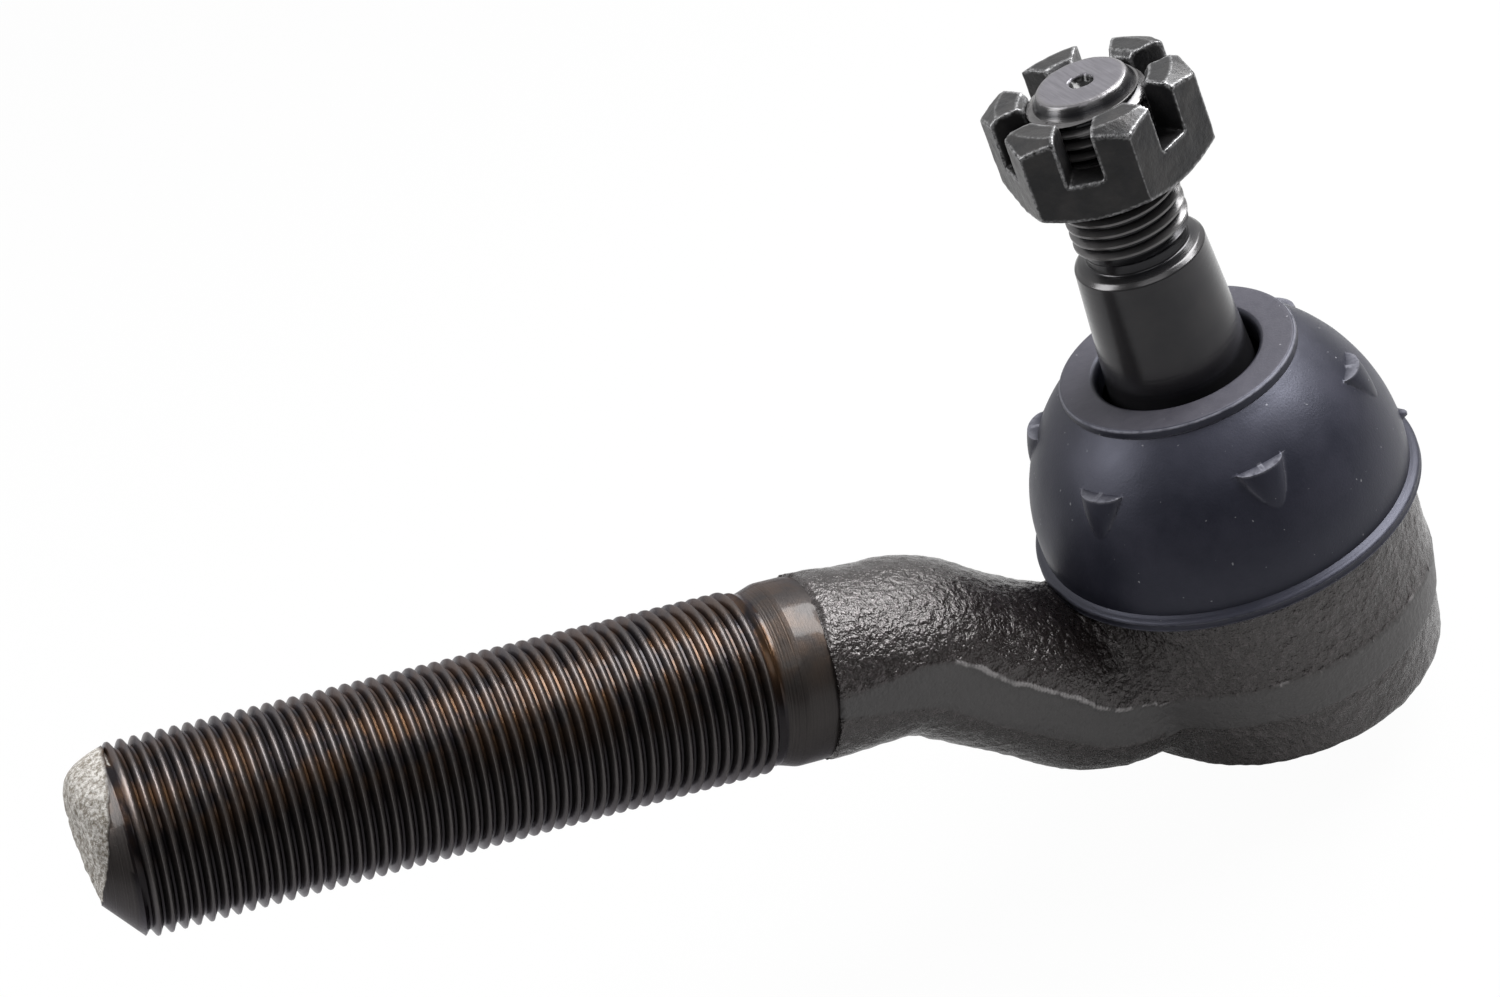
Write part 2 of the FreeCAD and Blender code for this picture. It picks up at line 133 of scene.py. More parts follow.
def share(name, description, value):
    return FloatProperty(name=name, description=description, default=value,
                         min=0, max=1, subtype="FACTOR")


def angle(name, description, degrees):
    return FloatProperty(name=name, description=description,
                         default=math.radians(degrees), unit="ROTATION")


def tint(name, description, colour):
    return FloatVectorProperty(name=name, description=description, default=colour,
                               size=3, min=0, max=1, subtype="COLOR")


class ForgingSettings(PropertyGroup):
    collar_start: size("Forging end", "Where the forged neck ends at the collar",
                       FORGING_END)
    neck_width: size("Neck width", "Neck across its sides", 23.8)
    neck_height: size("Neck height", "Neck from top to bottom", 20.8)
    upper_knee: size("Upper knee", "Upper bend, along the shank from the ball", 46.0)
    neck_end: size("Neck drop", "Depth of the neck's end under the ball's centre", 6.2)
    upper_bend: size("Upper bend radius", "Radius of the bend by the collar", 15.0)
    lower_bend: size("Lower bend radius", "Radius of the bend by the socket", 13.0)
    slope: angle("Neck slope", "How steeply the neck drops to the socket", 47.0)
    socket_radius: size("Socket radius", "Socket at its parting line", 22.15)
    blend_radius: size("Neck blend", "Softness of the corner above the neck", 5.5)
    parting_proud: size("Parting band", "How far the socket's parting band stands out", 0.25)
    pitting: size("Pitting", "Depth of the rough forged skin", 0.075)
    grid: size("Detail", "Size of the forging's mesh faces", 0.33)
    skin_colour: tint("Forged skin", "Dark brown oxide", (0.014, 0.0105, 0.010))
    scale_colour: tint("Scale", "Lighter worn scale on the high spots", (0.060, 0.050, 0.052))
    trim_colour: tint("Trimmed band", "Smoother metal along the parting line",
                      (0.042, 0.040, 0.040))


class ShankSettings(PropertyGroup):
    pitch: size("Pitch", "Pitch of the shank's thread", 1.5)
    depth: size("Thread depth", "Crest to root", 0.92)
    collar_radius: size("Collar radius", "Turned collar between thread and forging", 11.05)
    collar_length: size("Collar length", "Straight part of the collar", 3.6)
    relief_radius: size("Relief radius", "Small end of the cone beside the thread", 10.35)
    bevel_slope: FloatProperty(name="Bevel slope", default=1.15,
                               description="Radius lost for each length of the bevel")
    dome_height: size("Sheared face", "How far the sheared face stands past the thread", 4.7)
    face_radius: size("Face radius", "Mean radius of the sheared face", 8.4)
    face_offset: size("Face offset", "How far that face lies off the shank's axis", 2.3)
    face_turn: angle("Face turn", "Side of the shank that the face lies toward", 40.0)
    columns: IntProperty(name="Facets", description="Faces round the shank", default=180)
    steel_colour: tint("Thread", "Oiled dark steel", (0.0065, 0.005, 0.0058))
    crest_colour: tint("Crests", "Rubbed thread crests", (0.11, 0.10, 0.098))
    sheared_colour: tint("Sheared steel", "Grainy face of the sheared end", (0.36, 0.35, 0.33))


class StudSettings(PropertyGroup):
    ball_radius: size("Ball radius", "Ball of the stud", 13.0)
    neck_radius: size("Neck radius", "Stud between ball and taper", 7.0)
    neck_end: size("Neck end", "Height of the neck's end", 15.5)
    taper_start: size("Taper start", "Height where the taper begins", 20.5)
    taper_radius: size("Taper end", "Radius at the taper's small end", 7.85)
    thread_radius: size("Thread radius", "Major radius of the stud's thread", 6.95)
    pitch: size("Pitch", "Pitch of the stud's thread", 1.5)
    depth: size("Thread depth", "Crest to root", 0.9)
    centre_drill: size("Centre drill", "Radius of the centre hole in the stud's end", 1.3)
    columns: IntProperty(name="Facets", description="Faces round the stud", default=144)
    steel_colour: tint("Stud", "Satin black phosphate", (0.011, 0.011, 0.013))
    worn_colour: tint("Rubbed edges", "Bright rubbed steel", (0.16, 0.155, 0.155))


class NutSettings(PropertyGroup):
    grid: size("Detail", "Size of the nut's mesh faces", 0.2)
    steel_colour: tint("Nut", "Dark grey phosphate", (0.012, 0.012, 0.013))
    worn_colour: tint("Rubbed edges", "Bright rubbed steel", (0.25, 0.25, 0.255))


class DustCoverSettings(PropertyGroup):
    rim_radius: size("Rim radius", "Flange at the foot of the cover", 24.0)
    rim_height: size("Rim height", "Height of that flange", 1.7)
    dome_radius: size("Dome radius", "Radius of the domed wall", 23.04)
    dome_centre: size("Dome centre", "Height of the dome's centre over its foot", 3.4)
    wall: size("Wall", "Thickness of the rubber", 2.8)
    crown_radius: size("Crown radius", "Flat disc on top", 14.54)
    crown_hole: size("Crown hole", "Radius of the hole round the stud", 9.95)
    crown_edge: size("Crown edge", "Height of the crown's rim", 1.3)
    lug_count: IntProperty(name="Lugs", description="Moulded lugs round the dome", default=6)
    lug_turn: angle("Lug turn", "Direction of the first lug", 25.0)
    lug_top: size("Lug top", "Height of the lugs' shelf over the foot", 16.5)
    lug_height: size("Lug height", "From the shelf down to the point", 4.8)
    lug_half_width: size("Lug half width", "Half the width of the shelf", 2.9)
    lug_proud: size("Lug reach", "How far the shelf stands out", 1.5)
    rubber_colour: tint("Rubber", "Blue-black rubber", (0.0045, 0.0048, 0.0085))
    # Light grey on the edges: partly chalky bloom, partly a painted highlight along the edges.
    bloom_and_edge_highlight_colour: tint("Bloom", "Chalky bloom on the edges", (0.11, 0.11, 0.125))


class InnerPartSettings(PropertyGroup):
    sintered_colour: tint("Bearings", "Oil-filled sintered steel", (0.09, 0.085, 0.08))
    spring_colour: tint("Springs", "Blued spring steel", (0.05, 0.055, 0.075))
    cover_colour: tint("End cover", "Pressed steel, lightly oiled", (0.16, 0.155, 0.15))
    plated_colour: tint("Fitting", "Yellow zinc plate", (0.52, 0.44, 0.24))


class StageSettings(PropertyGroup):
    azimuth: angle("Azimuth", "Camera's turn round the upright", -10.37)
    elevation: angle("Elevation", "Camera's height over the level", 31.85)
    roll: angle("Roll", "Camera's tilt in its own plane", -24.3)
    distance: size("Distance", "Camera to the point it looks at", 340.0)
    target: FloatVectorProperty(name="Target", description="Point that the camera looks at",
                                default=(-0.05533, -0.00834, 0.04844), subtype="XYZ")
    lens: FloatProperty(name="Lens", description="Focal length on a 36 mm sensor",
                        default=73.83)
    floor_colour: tint("Floor", "Grey that the object reflects; the camera sees white",
                       (0.36, 0.36, 0.36))
    bright_side: FloatVectorProperty(name="Bright side", description="Where the room is lit",
                                     default=(0.12, 0.80, 0.58), subtype="DIRECTION")
    dim_light: FloatProperty(name="Dim side", description="Light from in front", default=0.10)
    bright_light: FloatProperty(name="Lit side", description="Light from behind and above",
                                default=1.1)
    floor_white: share("Floor white", "How far the floor reads as pure white", 0.97)


# ---- shader maths ----------------------------------------------------------
class Wire:
    """One socket of a recipe's nodes. Arithmetic on it adds Math nodes."""

    def __init__(self, recipe, socket):
        self.recipe = recipe
        self.socket = socket

    def math(self, operation, *values):
        made = self.recipe.node("ShaderNodeMath", {"operation": operation},
                                dict(enumerate(values)))
        return made["Value"]

    def __add__(self, other):
        return self.math("ADD", self, other)

    __radd__ = __add__

    def __mul__(self, other):
        return self.math("MULTIPLY", self, other)

    __rmul__ = __mul__

    def __sub__(self, other):
        return self.math("SUBTRACT", self, other)

    def __rsub__(self, other):
        return self.math("SUBTRACT", other, self)

    def step(self, low, high):
        """0 below low, 1 above high and smooth between them."""
        made = self.recipe.node("ShaderNodeMapRange", {"interpolation_type": "SMOOTHSTEP"},
                                {"Value": self, "From Min": low, "From Max": high})
        return made["Result"]


class Recipe:
    """A material's or the world's nodes, while they are put together."""

    def __init__(self, owner):
        self.owner = owner
        owner.use_nodes = True
        self.tree = owner.node_tree
        self.tree.nodes.clear()
        self.spot = None

    @property
    def place(self):
        """Where the surface is, in millimetres."""
        if self.spot is None:
            spot = self.node("ShaderNodeTexCoord", {}, {})["Object"]
            self.spot = self.node("ShaderNodeVectorMath", {"operation": "SCALE"},
                                  {"Vector": spot, "Scale": 1 / MM})["Vector"]
        return self.spot

    def node(self, kind, settings, inputs):
        """A node with its settings made first and its sockets filled after."""
        node = self.tree.nodes.new(kind)
        for key, value in settings.items():
            setattr(node, key, value)
        for key, value in inputs.items():
            if isinstance(value, Wire):
                self.tree.links.new(value.socket, node.inputs[key])
            else:
                node.inputs[key].default_value = value
        return Outputs(self, node)

    def noise(self, feature, detail=2.0, roughness=0.5, place=None):
        """Cloudy noise from 0 to 1 with features about that many millimetres across."""
        made = self.node("ShaderNodeTexNoise", {},
                         {"Vector": place or self.place, "Scale": 1 / feature,
                          "Detail": detail, "Roughness": roughness})
        return made["Fac"]

    def stretch(self, x, y, z):
        """Coordinates scaled by direction, for noise that runs in lines."""
        made = self.node("ShaderNodeVectorMath", {"operation": "MULTIPLY"},
                         {0: self.place, 1: (x, y, z)})
        return made["Vector"]

    def reach(self, direction):
        """How far the surface lies in a direction, in millimetres."""
        made = self.node("ShaderNodeVectorMath", {"operation": "DOT_PRODUCT"},
                         {0: self.place, 1: tuple(direction)})
        return made["Value"]

    def painted(self, name):
        return self.node("ShaderNodeAttribute", {"attribute_name": name}, {})["Fac"]

    def mix(self, first, second, factor):
        """Colours, the second laid over the first by the factor."""
        made = self.node("ShaderNodeMix", {"data_type": "RGBA"},
                         {0: factor, 6: rgba(first), 7: rgba(second)})
        return Wire(self, made.node.outputs[2])

    def finish(self, colour, roughness, height, depth, metallic, **constants):
        """The shader, with a bump of that many millimetres."""
        bump = self.node("ShaderNodeBump", {}, {"Height": height, "Distance": depth * MM})
        sockets = {"Base Color": colour, "Roughness": roughness, "Metallic": metallic,
                   "Normal": bump["Normal"]}
        sockets.update(constants)
        shader = self.node("ShaderNodeBsdfPrincipled", {}, sockets)
        self.node("ShaderNodeOutputMaterial", {}, {"Surface": shader["BSDF"]})
        return self.owner


def new_recipe(name):
    return Recipe(bpy.data.materials.new(name))


class Outputs:
    """A node's outputs, each as a wire."""

    def __init__(self, recipe, node):
        self.recipe = recipe
        self.node = node

    def __getitem__(self, key):
        return Wire(self.recipe, self.node.outputs[key])


def rgba(colour):
    return colour if isinstance(colour, Wire) else (*colour, 1)


# ---- mesh helpers ----------------------------------------------------------
def lumps(points, feature, seed):
    """Smooth random field from -1 to 1, with features about that many millimetres."""
    place = points / feature + seed * 17.31
    cell = np.floor(place).astype(np.int64)
    part = place - cell
    weight = part * part * (3 - 2 * part)
    total = np.zeros(len(points))
    for corner in itertools.product((0, 1), repeat=3):
        key = (cell + corner) @ np.array([374761393, 668265263, 1274126177])
        key = (key ^ (key >> 13)) * 1103515245
        key = (key ^ (key >> 16)) & 0xFFFF
        near = np.where(corner, weight, 1 - weight).prod(axis=1)
        total += near * (key / 32767.5 - 1)
    return total


def ramp(values, low, high):
    """0 below low, 1 above high and smooth between them."""
    part = np.clip((values - low) / (high - low), 0, 1)
    return part * part * (3 - 2 * part)


def ridge(values, place, width):
    """1 at the place, falling to nearly 0 on both sides over twice that width."""
    return np.exp(-((values - place) / width) ** 2)


def soft_low(a, b, softness):
    """The lower of two distances, with a rounded corner."""
    part = np.clip(0.5 + 0.5 * (b - a) / softness, 0, 1)
    return b * (1 - part) + a * part - softness * part * (1 - part)


def soft_high(a, b, softness):
    return -soft_low(-a, -b, softness)


def closed_rows(rows, columns, lead=0):
    """Quads between the rows of a grid that closes on itself. The last column
    stands `lead` rows ahead of the first, which is how a thread's rows close."""
    row = np.arange(rows - 1)[:, None]
    column = np.arange(columns)[None]
    here = row * columns + column
    beside = row * columns + (column + 1) % columns
    beside = beside + lead * columns * (column == columns - 1)
    quads = np.stack([here, beside, beside + columns, here + columns], axis=-1)
    quads = quads.reshape(-1, 4)
    return quads[quads.max(axis=1) < rows * columns]


def ring_grid(radii, heights, turns):
    """Points of a grid from radii and heights, each (rows, columns)."""
    radii, heights = np.broadcast_arrays(radii, heights)
    x = radii * np.cos(turns)
    y = radii * np.sin(turns)
    return np.stack([x, y, np.broadcast_to(heights, x.shape)], axis=-1)


def even_turns(columns):
    return np.arange(columns) * TURN / columns


def turn_from(turns, middle):
    """Signed angle from the middle direction, at most half a turn."""
    return (turns - middle + math.pi) % TURN - math.pi


def spun(profile, turns):
    """A profile of (radius, height) points turned round the axis."""
    return ring_grid(profile[:, :1], profile[:, 1:], turns)


def closed(grid):
    """A grid with its quads, closed round its axis."""
    return grid, closed_rows(*grid.shape[:2])


def outline(corners, steps=4):
    """A profile from (radius, height, rounding) corners, with the corners rounded."""
    points = []
    count = len(corners)
    for index, (r, z, rounding) in enumerate(corners):
        here = np.array([r, z], float)
        if rounding == 0 or index in (0, count - 1):
            points.append(here)
            continue
        before = np.array(corners[index - 1][:2]) - here
        after = np.array(corners[index + 1][:2]) - here
        start = here + before / np.linalg.norm(before) * rounding
        end = here + after / np.linalg.norm(after) * rounding
        for t in np.linspace(0, 1, steps + 1):
            points.append((1 - t) ** 2 * start + 2 * t * (1 - t) * here + t * t * end)
    return np.array(points)


def subdivided(points, spacing):
    """The same profile with its long runs cut to the spacing at each place."""
    made = [points[0]]
    for before, after in zip(points[:-1], points[1:]):
        gap = spacing((before + after) / 2)
        cuts = max(1, math.ceil(np.linalg.norm(after - before) / gap))
        made.extend(before + (after - before) * k / cuts for k in range(1, cuts + 1))
    return np.array(made)


def placed(name, data):
    """A new object in the scene."""
    made = bpy.data.objects.new(name, data)
    bpy.context.scene.collection.objects.link(made)
    return made


def new_piece(name, grids, smooth_to=36.0):
    """A welded closed mesh from (points, quads) pairs in millimetres."""
    corners = []
    faces = []
    count = 0
    for points, quads in grids:
        flat = points.reshape(-1, 3)
        corners.append(flat)
        faces.append(quads + count)
        count += len(flat)
    mesh = bpy.data.meshes.new(name)
    mesh.from_pydata((np.concatenate(corners) * MM).tolist(), [],
                     np.concatenate(faces).tolist())
    piece = placed(name, mesh)
    weld(piece, smooth_to)
    return piece


def weld(piece, smooth_to):
    """Join the doubled points and turn every face outward."""
    work = bmesh.new()
    work.from_mesh(piece.data)
    bmesh.ops.remove_doubles(work, verts=work.verts, dist=0.0005 * MM)
    bmesh.ops.dissolve_degenerate(work, dist=0.0005 * MM, edges=work.edges)
    bmesh.ops.recalc_face_normals(work, faces=work.faces)
    if work.calc_volume(signed=True) < 0:
        bmesh.ops.reverse_faces(work, faces=work.faces)
    work.to_mesh(piece.data)
    work.free()
    shade(piece, smooth_to)


def shade(piece, smooth_to):
    mesh = piece.data
    mesh.polygons.foreach_set("use_smooth", np.ones(len(mesh.polygons), bool))
    mesh.set_sharp_from_angle(angle=math.radians(smooth_to))


def points_of(piece):
    """The piece's points in millimetres."""
    flat = np.empty(len(piece.data.vertices) * 3)
    piece.data.vertices.foreach_get("co", flat)
    return flat.reshape(-1, 3) / MM


def move_points(piece, points):
    piece.data.vertices.foreach_set("co", (points * MM).ravel())
    piece.data.update()


def normals_of(piece):
    flat = np.empty(len(piece.data.vertices) * 3)
    piece.data.vertices.foreach_get("normal", flat)
    return flat.reshape(-1, 3)


def paint(piece, name, values):
    """Store a number at each point for the material to read."""
    layer = piece.data.attributes.new(name, "FLOAT", "POINT")
    layer.data.foreach_set("value", np.asarray(values, np.float32))


def settle(piece):
    """Apply the piece's modifiers."""
    seen = piece.evaluated_get(bpy.context.evaluated_depsgraph_get())
    mesh = bpy.data.meshes.new_from_object(seen)
    piece.modifiers.clear()
    piece.data = mesh


def remeshed_copy(node, name, grid, keep=None):
    """An even-gridded copy of a CAD node. keep is a plane as (point, normal), and
    what lies on the normal's side of it is left out."""
    mesh = frame["nodes"][node].data.copy()
    mesh.materials.clear()
    piece = placed(name, mesh)
    work = bmesh.new()
    work.from_mesh(mesh)
    bmesh.ops.remove_doubles(work, verts=work.verts, dist=0.002 * MM)
    if keep:
        point, normal = keep
        everything = work.verts[:] + work.edges[:] + work.faces[:]
        cut = bmesh.ops.bisect_plane(work, geom=everything, plane_co=point,
                                     plane_no=normal, clear_outer=True)
        rim = [item for item in cut["geom_cut"] if isinstance(item, bmesh.types.BMEdge)]
        bmesh.ops.holes_fill(work, edges=rim)
    work.to_mesh(mesh)
    work.free()
    remesh = piece.modifiers.new("even grid", "REMESH")
    remesh.mode = "VOXEL"
    remesh.voxel_size = grid * MM
    settle(piece)
    return piece


def convex_edges(piece, rounds=2):
    """How far each point stands out from those around it, in millimetres."""
    points = points_of(piece)
    flat = np.empty(len(piece.data.edges) * 2, np.int32)
    piece.data.edges.foreach_get("vertices", flat)
    ends = flat.reshape(-1, 2)

    def near_mean(values):
        total = np.zeros_like(values)
        count = np.zeros(len(values))
        for a, b in ((0, 1), (1, 0)):
            np.add.at(total, ends[:, a], values[ends[:, b]])
            np.add.at(count, ends[:, a], 1)
        return total / np.maximum(count, 1).reshape((-1,) + (1,) * (values.ndim - 1))

    stand = np.einsum("ij,ij->i", points - near_mean(points), normals_of(piece))
    for _ in range(rounds):
        stand = 0.5 * stand + 0.5 * near_mean(stand)
    return stand


def dress(piece, material):
    """Give a piece, or a CAD node, its one material."""
    piece.data.materials.clear()
    piece.data.materials.append(material)


def finished(piece, material, node):
    """Dress a piece and hide the CAD node that it replaces."""
    dress(piece, material)
    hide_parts(node)
    return piece


# ---- the forged housing ----------------------------------------------------
class Neck:
    """The neck's centreline in the XZ plane, from the collar to the socket."""

    def __init__(self, s):
        slope = s.slope
        up_shank = np.array([SHANK_AXIS.x, SHANK_AXIS.z])
        down = np.array([math.cos(slope), -math.sin(slope)])
        level = np.array([1.0, 0.0])
        knee = up_shank * s.upper_knee / MM
        end_z = -s.neck_end / MM
        foot = knee + down * ((knee[1] - end_z) / math.sin(slope))
        line = [up_shank * (s.collar_start / MM + 8)]
        line += self.bend(knee, -up_shank, down, s.upper_bend / MM)
        line += self.bend(foot, down, level, s.lower_bend / MM)
        line.append(np.array([-8.0, end_z]))
        self.line = np.array(line)
        self.runs = np.diff(self.line, axis=0)
        self.lengths = np.linalg.norm(self.runs, axis=1)
        self.starts = np.concatenate([[0], np.cumsum(self.lengths)[:-1]]) - 8
        self.half_w = s.neck_width / MM / 2
        self.half_h = s.neck_height / MM / 2

    @staticmethod
    def bend(corner, before, after, radius, steps=14):
        """Points of the arc that rounds a corner of the centreline."""
        turn = math.acos(float(np.clip(before @ after, -1, 1)))
        side = math.copysign(1, before[0] * after[1] - before[1] * after[0])
        start = corner - before * radius * math.tan(turn / 2)
        inward = side * np.array([-before[1], before[0]])
        pivot = start + radius * inward
        angles = np.linspace(0, turn, steps)
        return [pivot + radius * (before * math.sin(a) - inward * math.cos(a))
                for a in angles]

    def place(self, points):
        """Station along the neck, height over its centreline and sideways offset."""
        flat = points[:, [0, 2]]
        gap = flat[:, None] - self.line[None, :-1]
        along = np.einsum("ijk,jk->ij", gap, self.runs) / self.lengths ** 2
        along = np.clip(along, 0, 1)
        off = gap - along[..., None] * self.runs
        best = np.einsum("ijk,ijk->ij", off, off).argmin(axis=1)
        rows = np.arange(len(points))
        heading = self.runs[best] / self.lengths[best][:, None]
        miss = off[rows, best]
        rise = heading[:, 0] * miss[:, 1] - heading[:, 1] * miss[:, 0]
        station = self.starts[best] + along[rows, best] * self.lengths[best]
        return station, rise, points[:, 1]

    def band(self, station):
        """Upper and lower edge of the trimmed band, over the centreline."""
        stations = [0, 10, 14, 22, 36, 48]
        upper = np.interp(station, stations, [1.3, 3.0, 3.2, 2.3, 1.9, 3.0])
        lower = np.interp(station, stations, [-1.1, -2.1, -2.8, -3.5, -3.5, -2.1])
        return upper, lower

    def distance(self, points):
        station, rise, side = self.place(points)
        half_h = self.half_h + 0.75 * (1 - ramp(station, 1.0, 11.0))
        half_w = self.half_w - 0.25 * (1 - ramp(station, 1.0, 11.0))
        upper, lower = self.band(station)
        oval = np.sqrt((side / half_w) ** 2 + (rise / half_h) ** 2) + 1e-6
        slope = np.sqrt((side / half_w ** 2) ** 2 + (rise / half_h ** 2) ** 2) / oval + 1e-6
        skin = (oval - 1) / slope
        reach = (upper - lower) / 2
        flat = half_w * np.sqrt(1 - (reach / half_h) ** 2)
        skin = soft_high(skin, np.abs(side) - flat, 0.35)
        return soft_high(skin, points[:, 0] - self.line[-1, 0], 2.0)


def in_socket_band(z, inset=0.0):
    """1 within the socket's parting band and 0 outside it."""
    low = BAND_LOW_Z + inset
    high = BAND_HIGH_Z - inset
    return ramp(z, low, low + BAND_EDGE) * (1 - ramp(z, high - BAND_EDGE, high))


def socket_distance(points, s):
    """Distance from the drafted socket, with its parting band."""
    radius = np.hypot(points[:, 0], points[:, 1])
    z = points[:, 2]
    wall = s.socket_radius / MM
    drafted = np.interp(z, [SOCKET_FOOT_Z, -9.5, -3.6, 8.2],
                        [wall - 1.75, wall - 0.75, wall, wall - 0.1])
    band = in_socket_band(z)
    side = radius - drafted - band * s.parting_proud / MM
    side = soft_high(side, z - SOCKET_RIM_Z, 0.7)
    return soft_high(side, SOCKET_FOOT_Z - z, 1.5)


def housing_distance(points, s, neck):
    """Distance from the whole outside of the forging."""
    softness = np.interp(points[:, 2], [-9, 1], [1.8, s.blend_radius / MM])
    joined = soft_low(neck.distance(points), socket_distance(points, s), softness)
    radius = np.hypot(points[:, 0], points[:, 1])
    under_rim = np.minimum(points[:, 2] - SOCKET_RIM_Z, NECK_REACH + 0.6 - radius)
    joined = np.maximum(joined, under_rim)
    end = points @ np.array(SHANK_AXIS) - s.collar_start / MM
    return np.maximum(joined, end)


def slope_of(points, distance, here):
    """Which way the distance grows fastest at each point."""
    step = 0.05
    gradient = np.stack([distance(points + step * unit) - here for unit in np.eye(3)],
                        axis=-1)
    return gradient / (np.linalg.norm(gradient, axis=1)[:, None] + 1e-9)


def parting_marks(neck, points):
    """Where the skin is trimmed, where its burr stands and what belongs to the neck."""
    station, rise, side = neck.place(points)
    upper, lower = neck.band(station)
    height = points[:, 2]
    on_neck = np.hypot(points[:, 0], points[:, 1]) > NECK_REACH
    flank = ramp(np.abs(side), 7.5, 9.5)
    neck_band = (ramp(upper - rise, -0.15, 0.25) * ramp(rise - lower, -0.15, 0.25)
                 * flank * on_neck)
    trimmed = np.maximum(neck_band, in_socket_band(height, 0.1) * ~on_neck)
    wander = 0.3 * lumps(points, 1.6, 3)
    burr = ridge(rise - upper, wander, 0.28) * flank * on_neck * ramp(station, 9, 12)
    seam = ridge(height - SEAM_Z, wander, 0.25) * ~on_neck * 0.6
    broken = ramp(lumps(points, 3.1, 5) + 0.5 * lumps(points, 0.9, 6), -0.55, 0.15)
    return trimmed, np.maximum(burr, seam) * broken, on_neck


def forged_housing(s):
    """Socket and neck, with the parting band, its burr and the pitted skin."""
    neck = Neck(s)
    cut = (SHANK_AXIS * s.collar_start, SHANK_AXIS)
    piece = remeshed_copy("housing", "forged_housing", s.grid / MM, keep=cut)
    points = points_of(piece)

    def distance(p):
        return housing_distance(p, s, neck)

    radius = np.hypot(points[:, 0], points[:, 1])
    z = points[:, 2]
    # The bore keeps the CAD's shape.
    outer = (radius > 19.9) | ((radius > 17.8) & (z > 7.6)) | ((radius > 17.2) & (z < -16.6))
    outside = points[outer]
    for _ in range(3):
        here = distance(outside)
        outside = outside - here[:, None] * slope_of(outside, distance, here)
    facing = slope_of(outside, distance, distance(outside))
    trimmed, burr, on_neck = parting_marks(neck, outside)
    machined = ramp(np.abs(facing[:, 2]), 0.97, 0.995) * ~on_neck
    pits = lumps(outside, 1.5, 1) + 0.8 * lumps(outside, 0.75, 2)
    rough = (1 - 0.85 * trimmed) * (1 - machined) * s.pitting / MM
    lift = rough * pits + 0.28 * lumps(outside, 9, 4) * (1 - machined) + 0.28 * burr
    lift *= ramp(s.collar_start / MM - outside @ np.array(SHANK_AXIS), 0.0, 1.2)
    points[outer] = outside + lift[:, None] * facing
    move_points(piece, points)
    for name, values, rest in (("trim", trimmed, 0.0), ("burr", burr, 0.0),
                               ("machined", machined, 1.0)):
        everywhere = np.full(len(points), rest)
        everywhere[outer] = values
        paint(piece, name, everywhere)
    shade(piece, 60)
    return piece


def forged_skin_material(s):
    recipe = new_recipe("forged_skin")
    coarse = recipe.noise(0.9, 2, 0.55)
    fine = recipe.noise(0.42, 2, 0.6)
    patches = recipe.noise(7, 3)
    trim = recipe.painted("trim")
    burr = recipe.painted("burr")
    machined = recipe.painted("machined")
    smooth = trim.math("MAXIMUM", trim, machined)
    high = (coarse * 0.6 + fine * 0.4).step(0.45, 0.68)
    colour = recipe.mix(s.skin_colour, s.scale_colour, high * (0.25 + 0.5 * patches))
    colour = recipe.mix(colour, s.trim_colour, smooth * 0.85)
    colour = recipe.mix(colour, (0.22, 0.21, 0.21), burr.step(0.15, 0.7) * 0.85)
    roughness = 0.21 + 0.12 * fine + 0.22 * smooth
    height = (coarse + 0.6 * fine) * (1 - 0.4 * smooth)
    return recipe.finish(colour, roughness, height, 0.28, 0.5,
                         **{"Specular IOR Level": 0.95})


# ---- threads ---------------------------------------------------------------
THREAD_SHAPE = ((0.0, 0.0), (0.10, 0.0), (0.42, 0.93), (0.47, 1.0), (0.52, 0.96),
                (0.57, 1.0), (0.62, 0.93), (0.94, 0.0))


def thread_grid(start, end, pitch, columns, radius):
    """Rows that follow a right-hand thread between two heights. `end` may differ
    from column to column. radius(z, height) gives the surface."""
    count = len(THREAD_SHAPE)
    phases = np.array([phase for phase, _ in THREAD_SHAPE])
    shape = np.array([height for _, height in THREAD_SHAPE])
    turns = math.ceil((np.max(end) - start) / pitch) + 3
    row = np.arange(turns * count)
    theta = even_turns(columns)
    z = start - pitch + pitch * (row // count + phases[row % count])[:, None]
    z = np.clip(z + pitch * theta[None] / TURN, start, end)
    height = np.broadcast_to(shape[row % count][:, None], z.shape)
    points = ring_grid(radius(z, height), z, theta)
    return points, closed_rows(len(row), columns, lead=count)


def along_shank(points):
    """From the shank's own upright frame into the whole part's."""
    turn = np.array([SHANK_UP, (0, 1, 0), SHANK_AXIS])
    return points @ turn


def ragged_rim(s, theta):
    """Radius of the sheared face's edge, which leans to one side of the shank."""
    ring = np.stack([np.cos(theta), np.sin(theta), 0 * theta], axis=-1) * 9
    ragged = 0.22 * lumps(ring, 2.1, 11) + 0.12 * lumps(ring, 0.8, 12)
    return s.face_radius / MM + s.face_offset / MM * np.cos(theta - s.face_turn) + ragged


def sheared_face(s, theta, rim_r, rim_z, rings=44):
    """Grid of the grainy dome inside the ragged rim."""
    inward = (1 - np.linspace(0, 1, rings) ** 1.1)[:, None]
    face_r = inward * rim_r
    lean = 0.13 * face_r * np.cos(theta - s.face_turn)
    plain = THREAD_END + lean + s.dome_height / MM * (1 - (face_r / (SHANK_R + 0.7)) ** 5)
    step_down = inward ** 9 * (rim_z - plain[:1])
    flat = ring_grid(face_r, 0 * face_r, theta).reshape(-1, 3)
    grain = (0.20 * lumps(flat, 1.9, 21) + 0.12 * lumps(flat, 0.8, 22)
             + 0.07 * lumps(flat, 0.4, 23)).reshape(face_r.shape)
    return ring_grid(face_r, plain + step_down + grain * (1 - inward ** 10), theta)


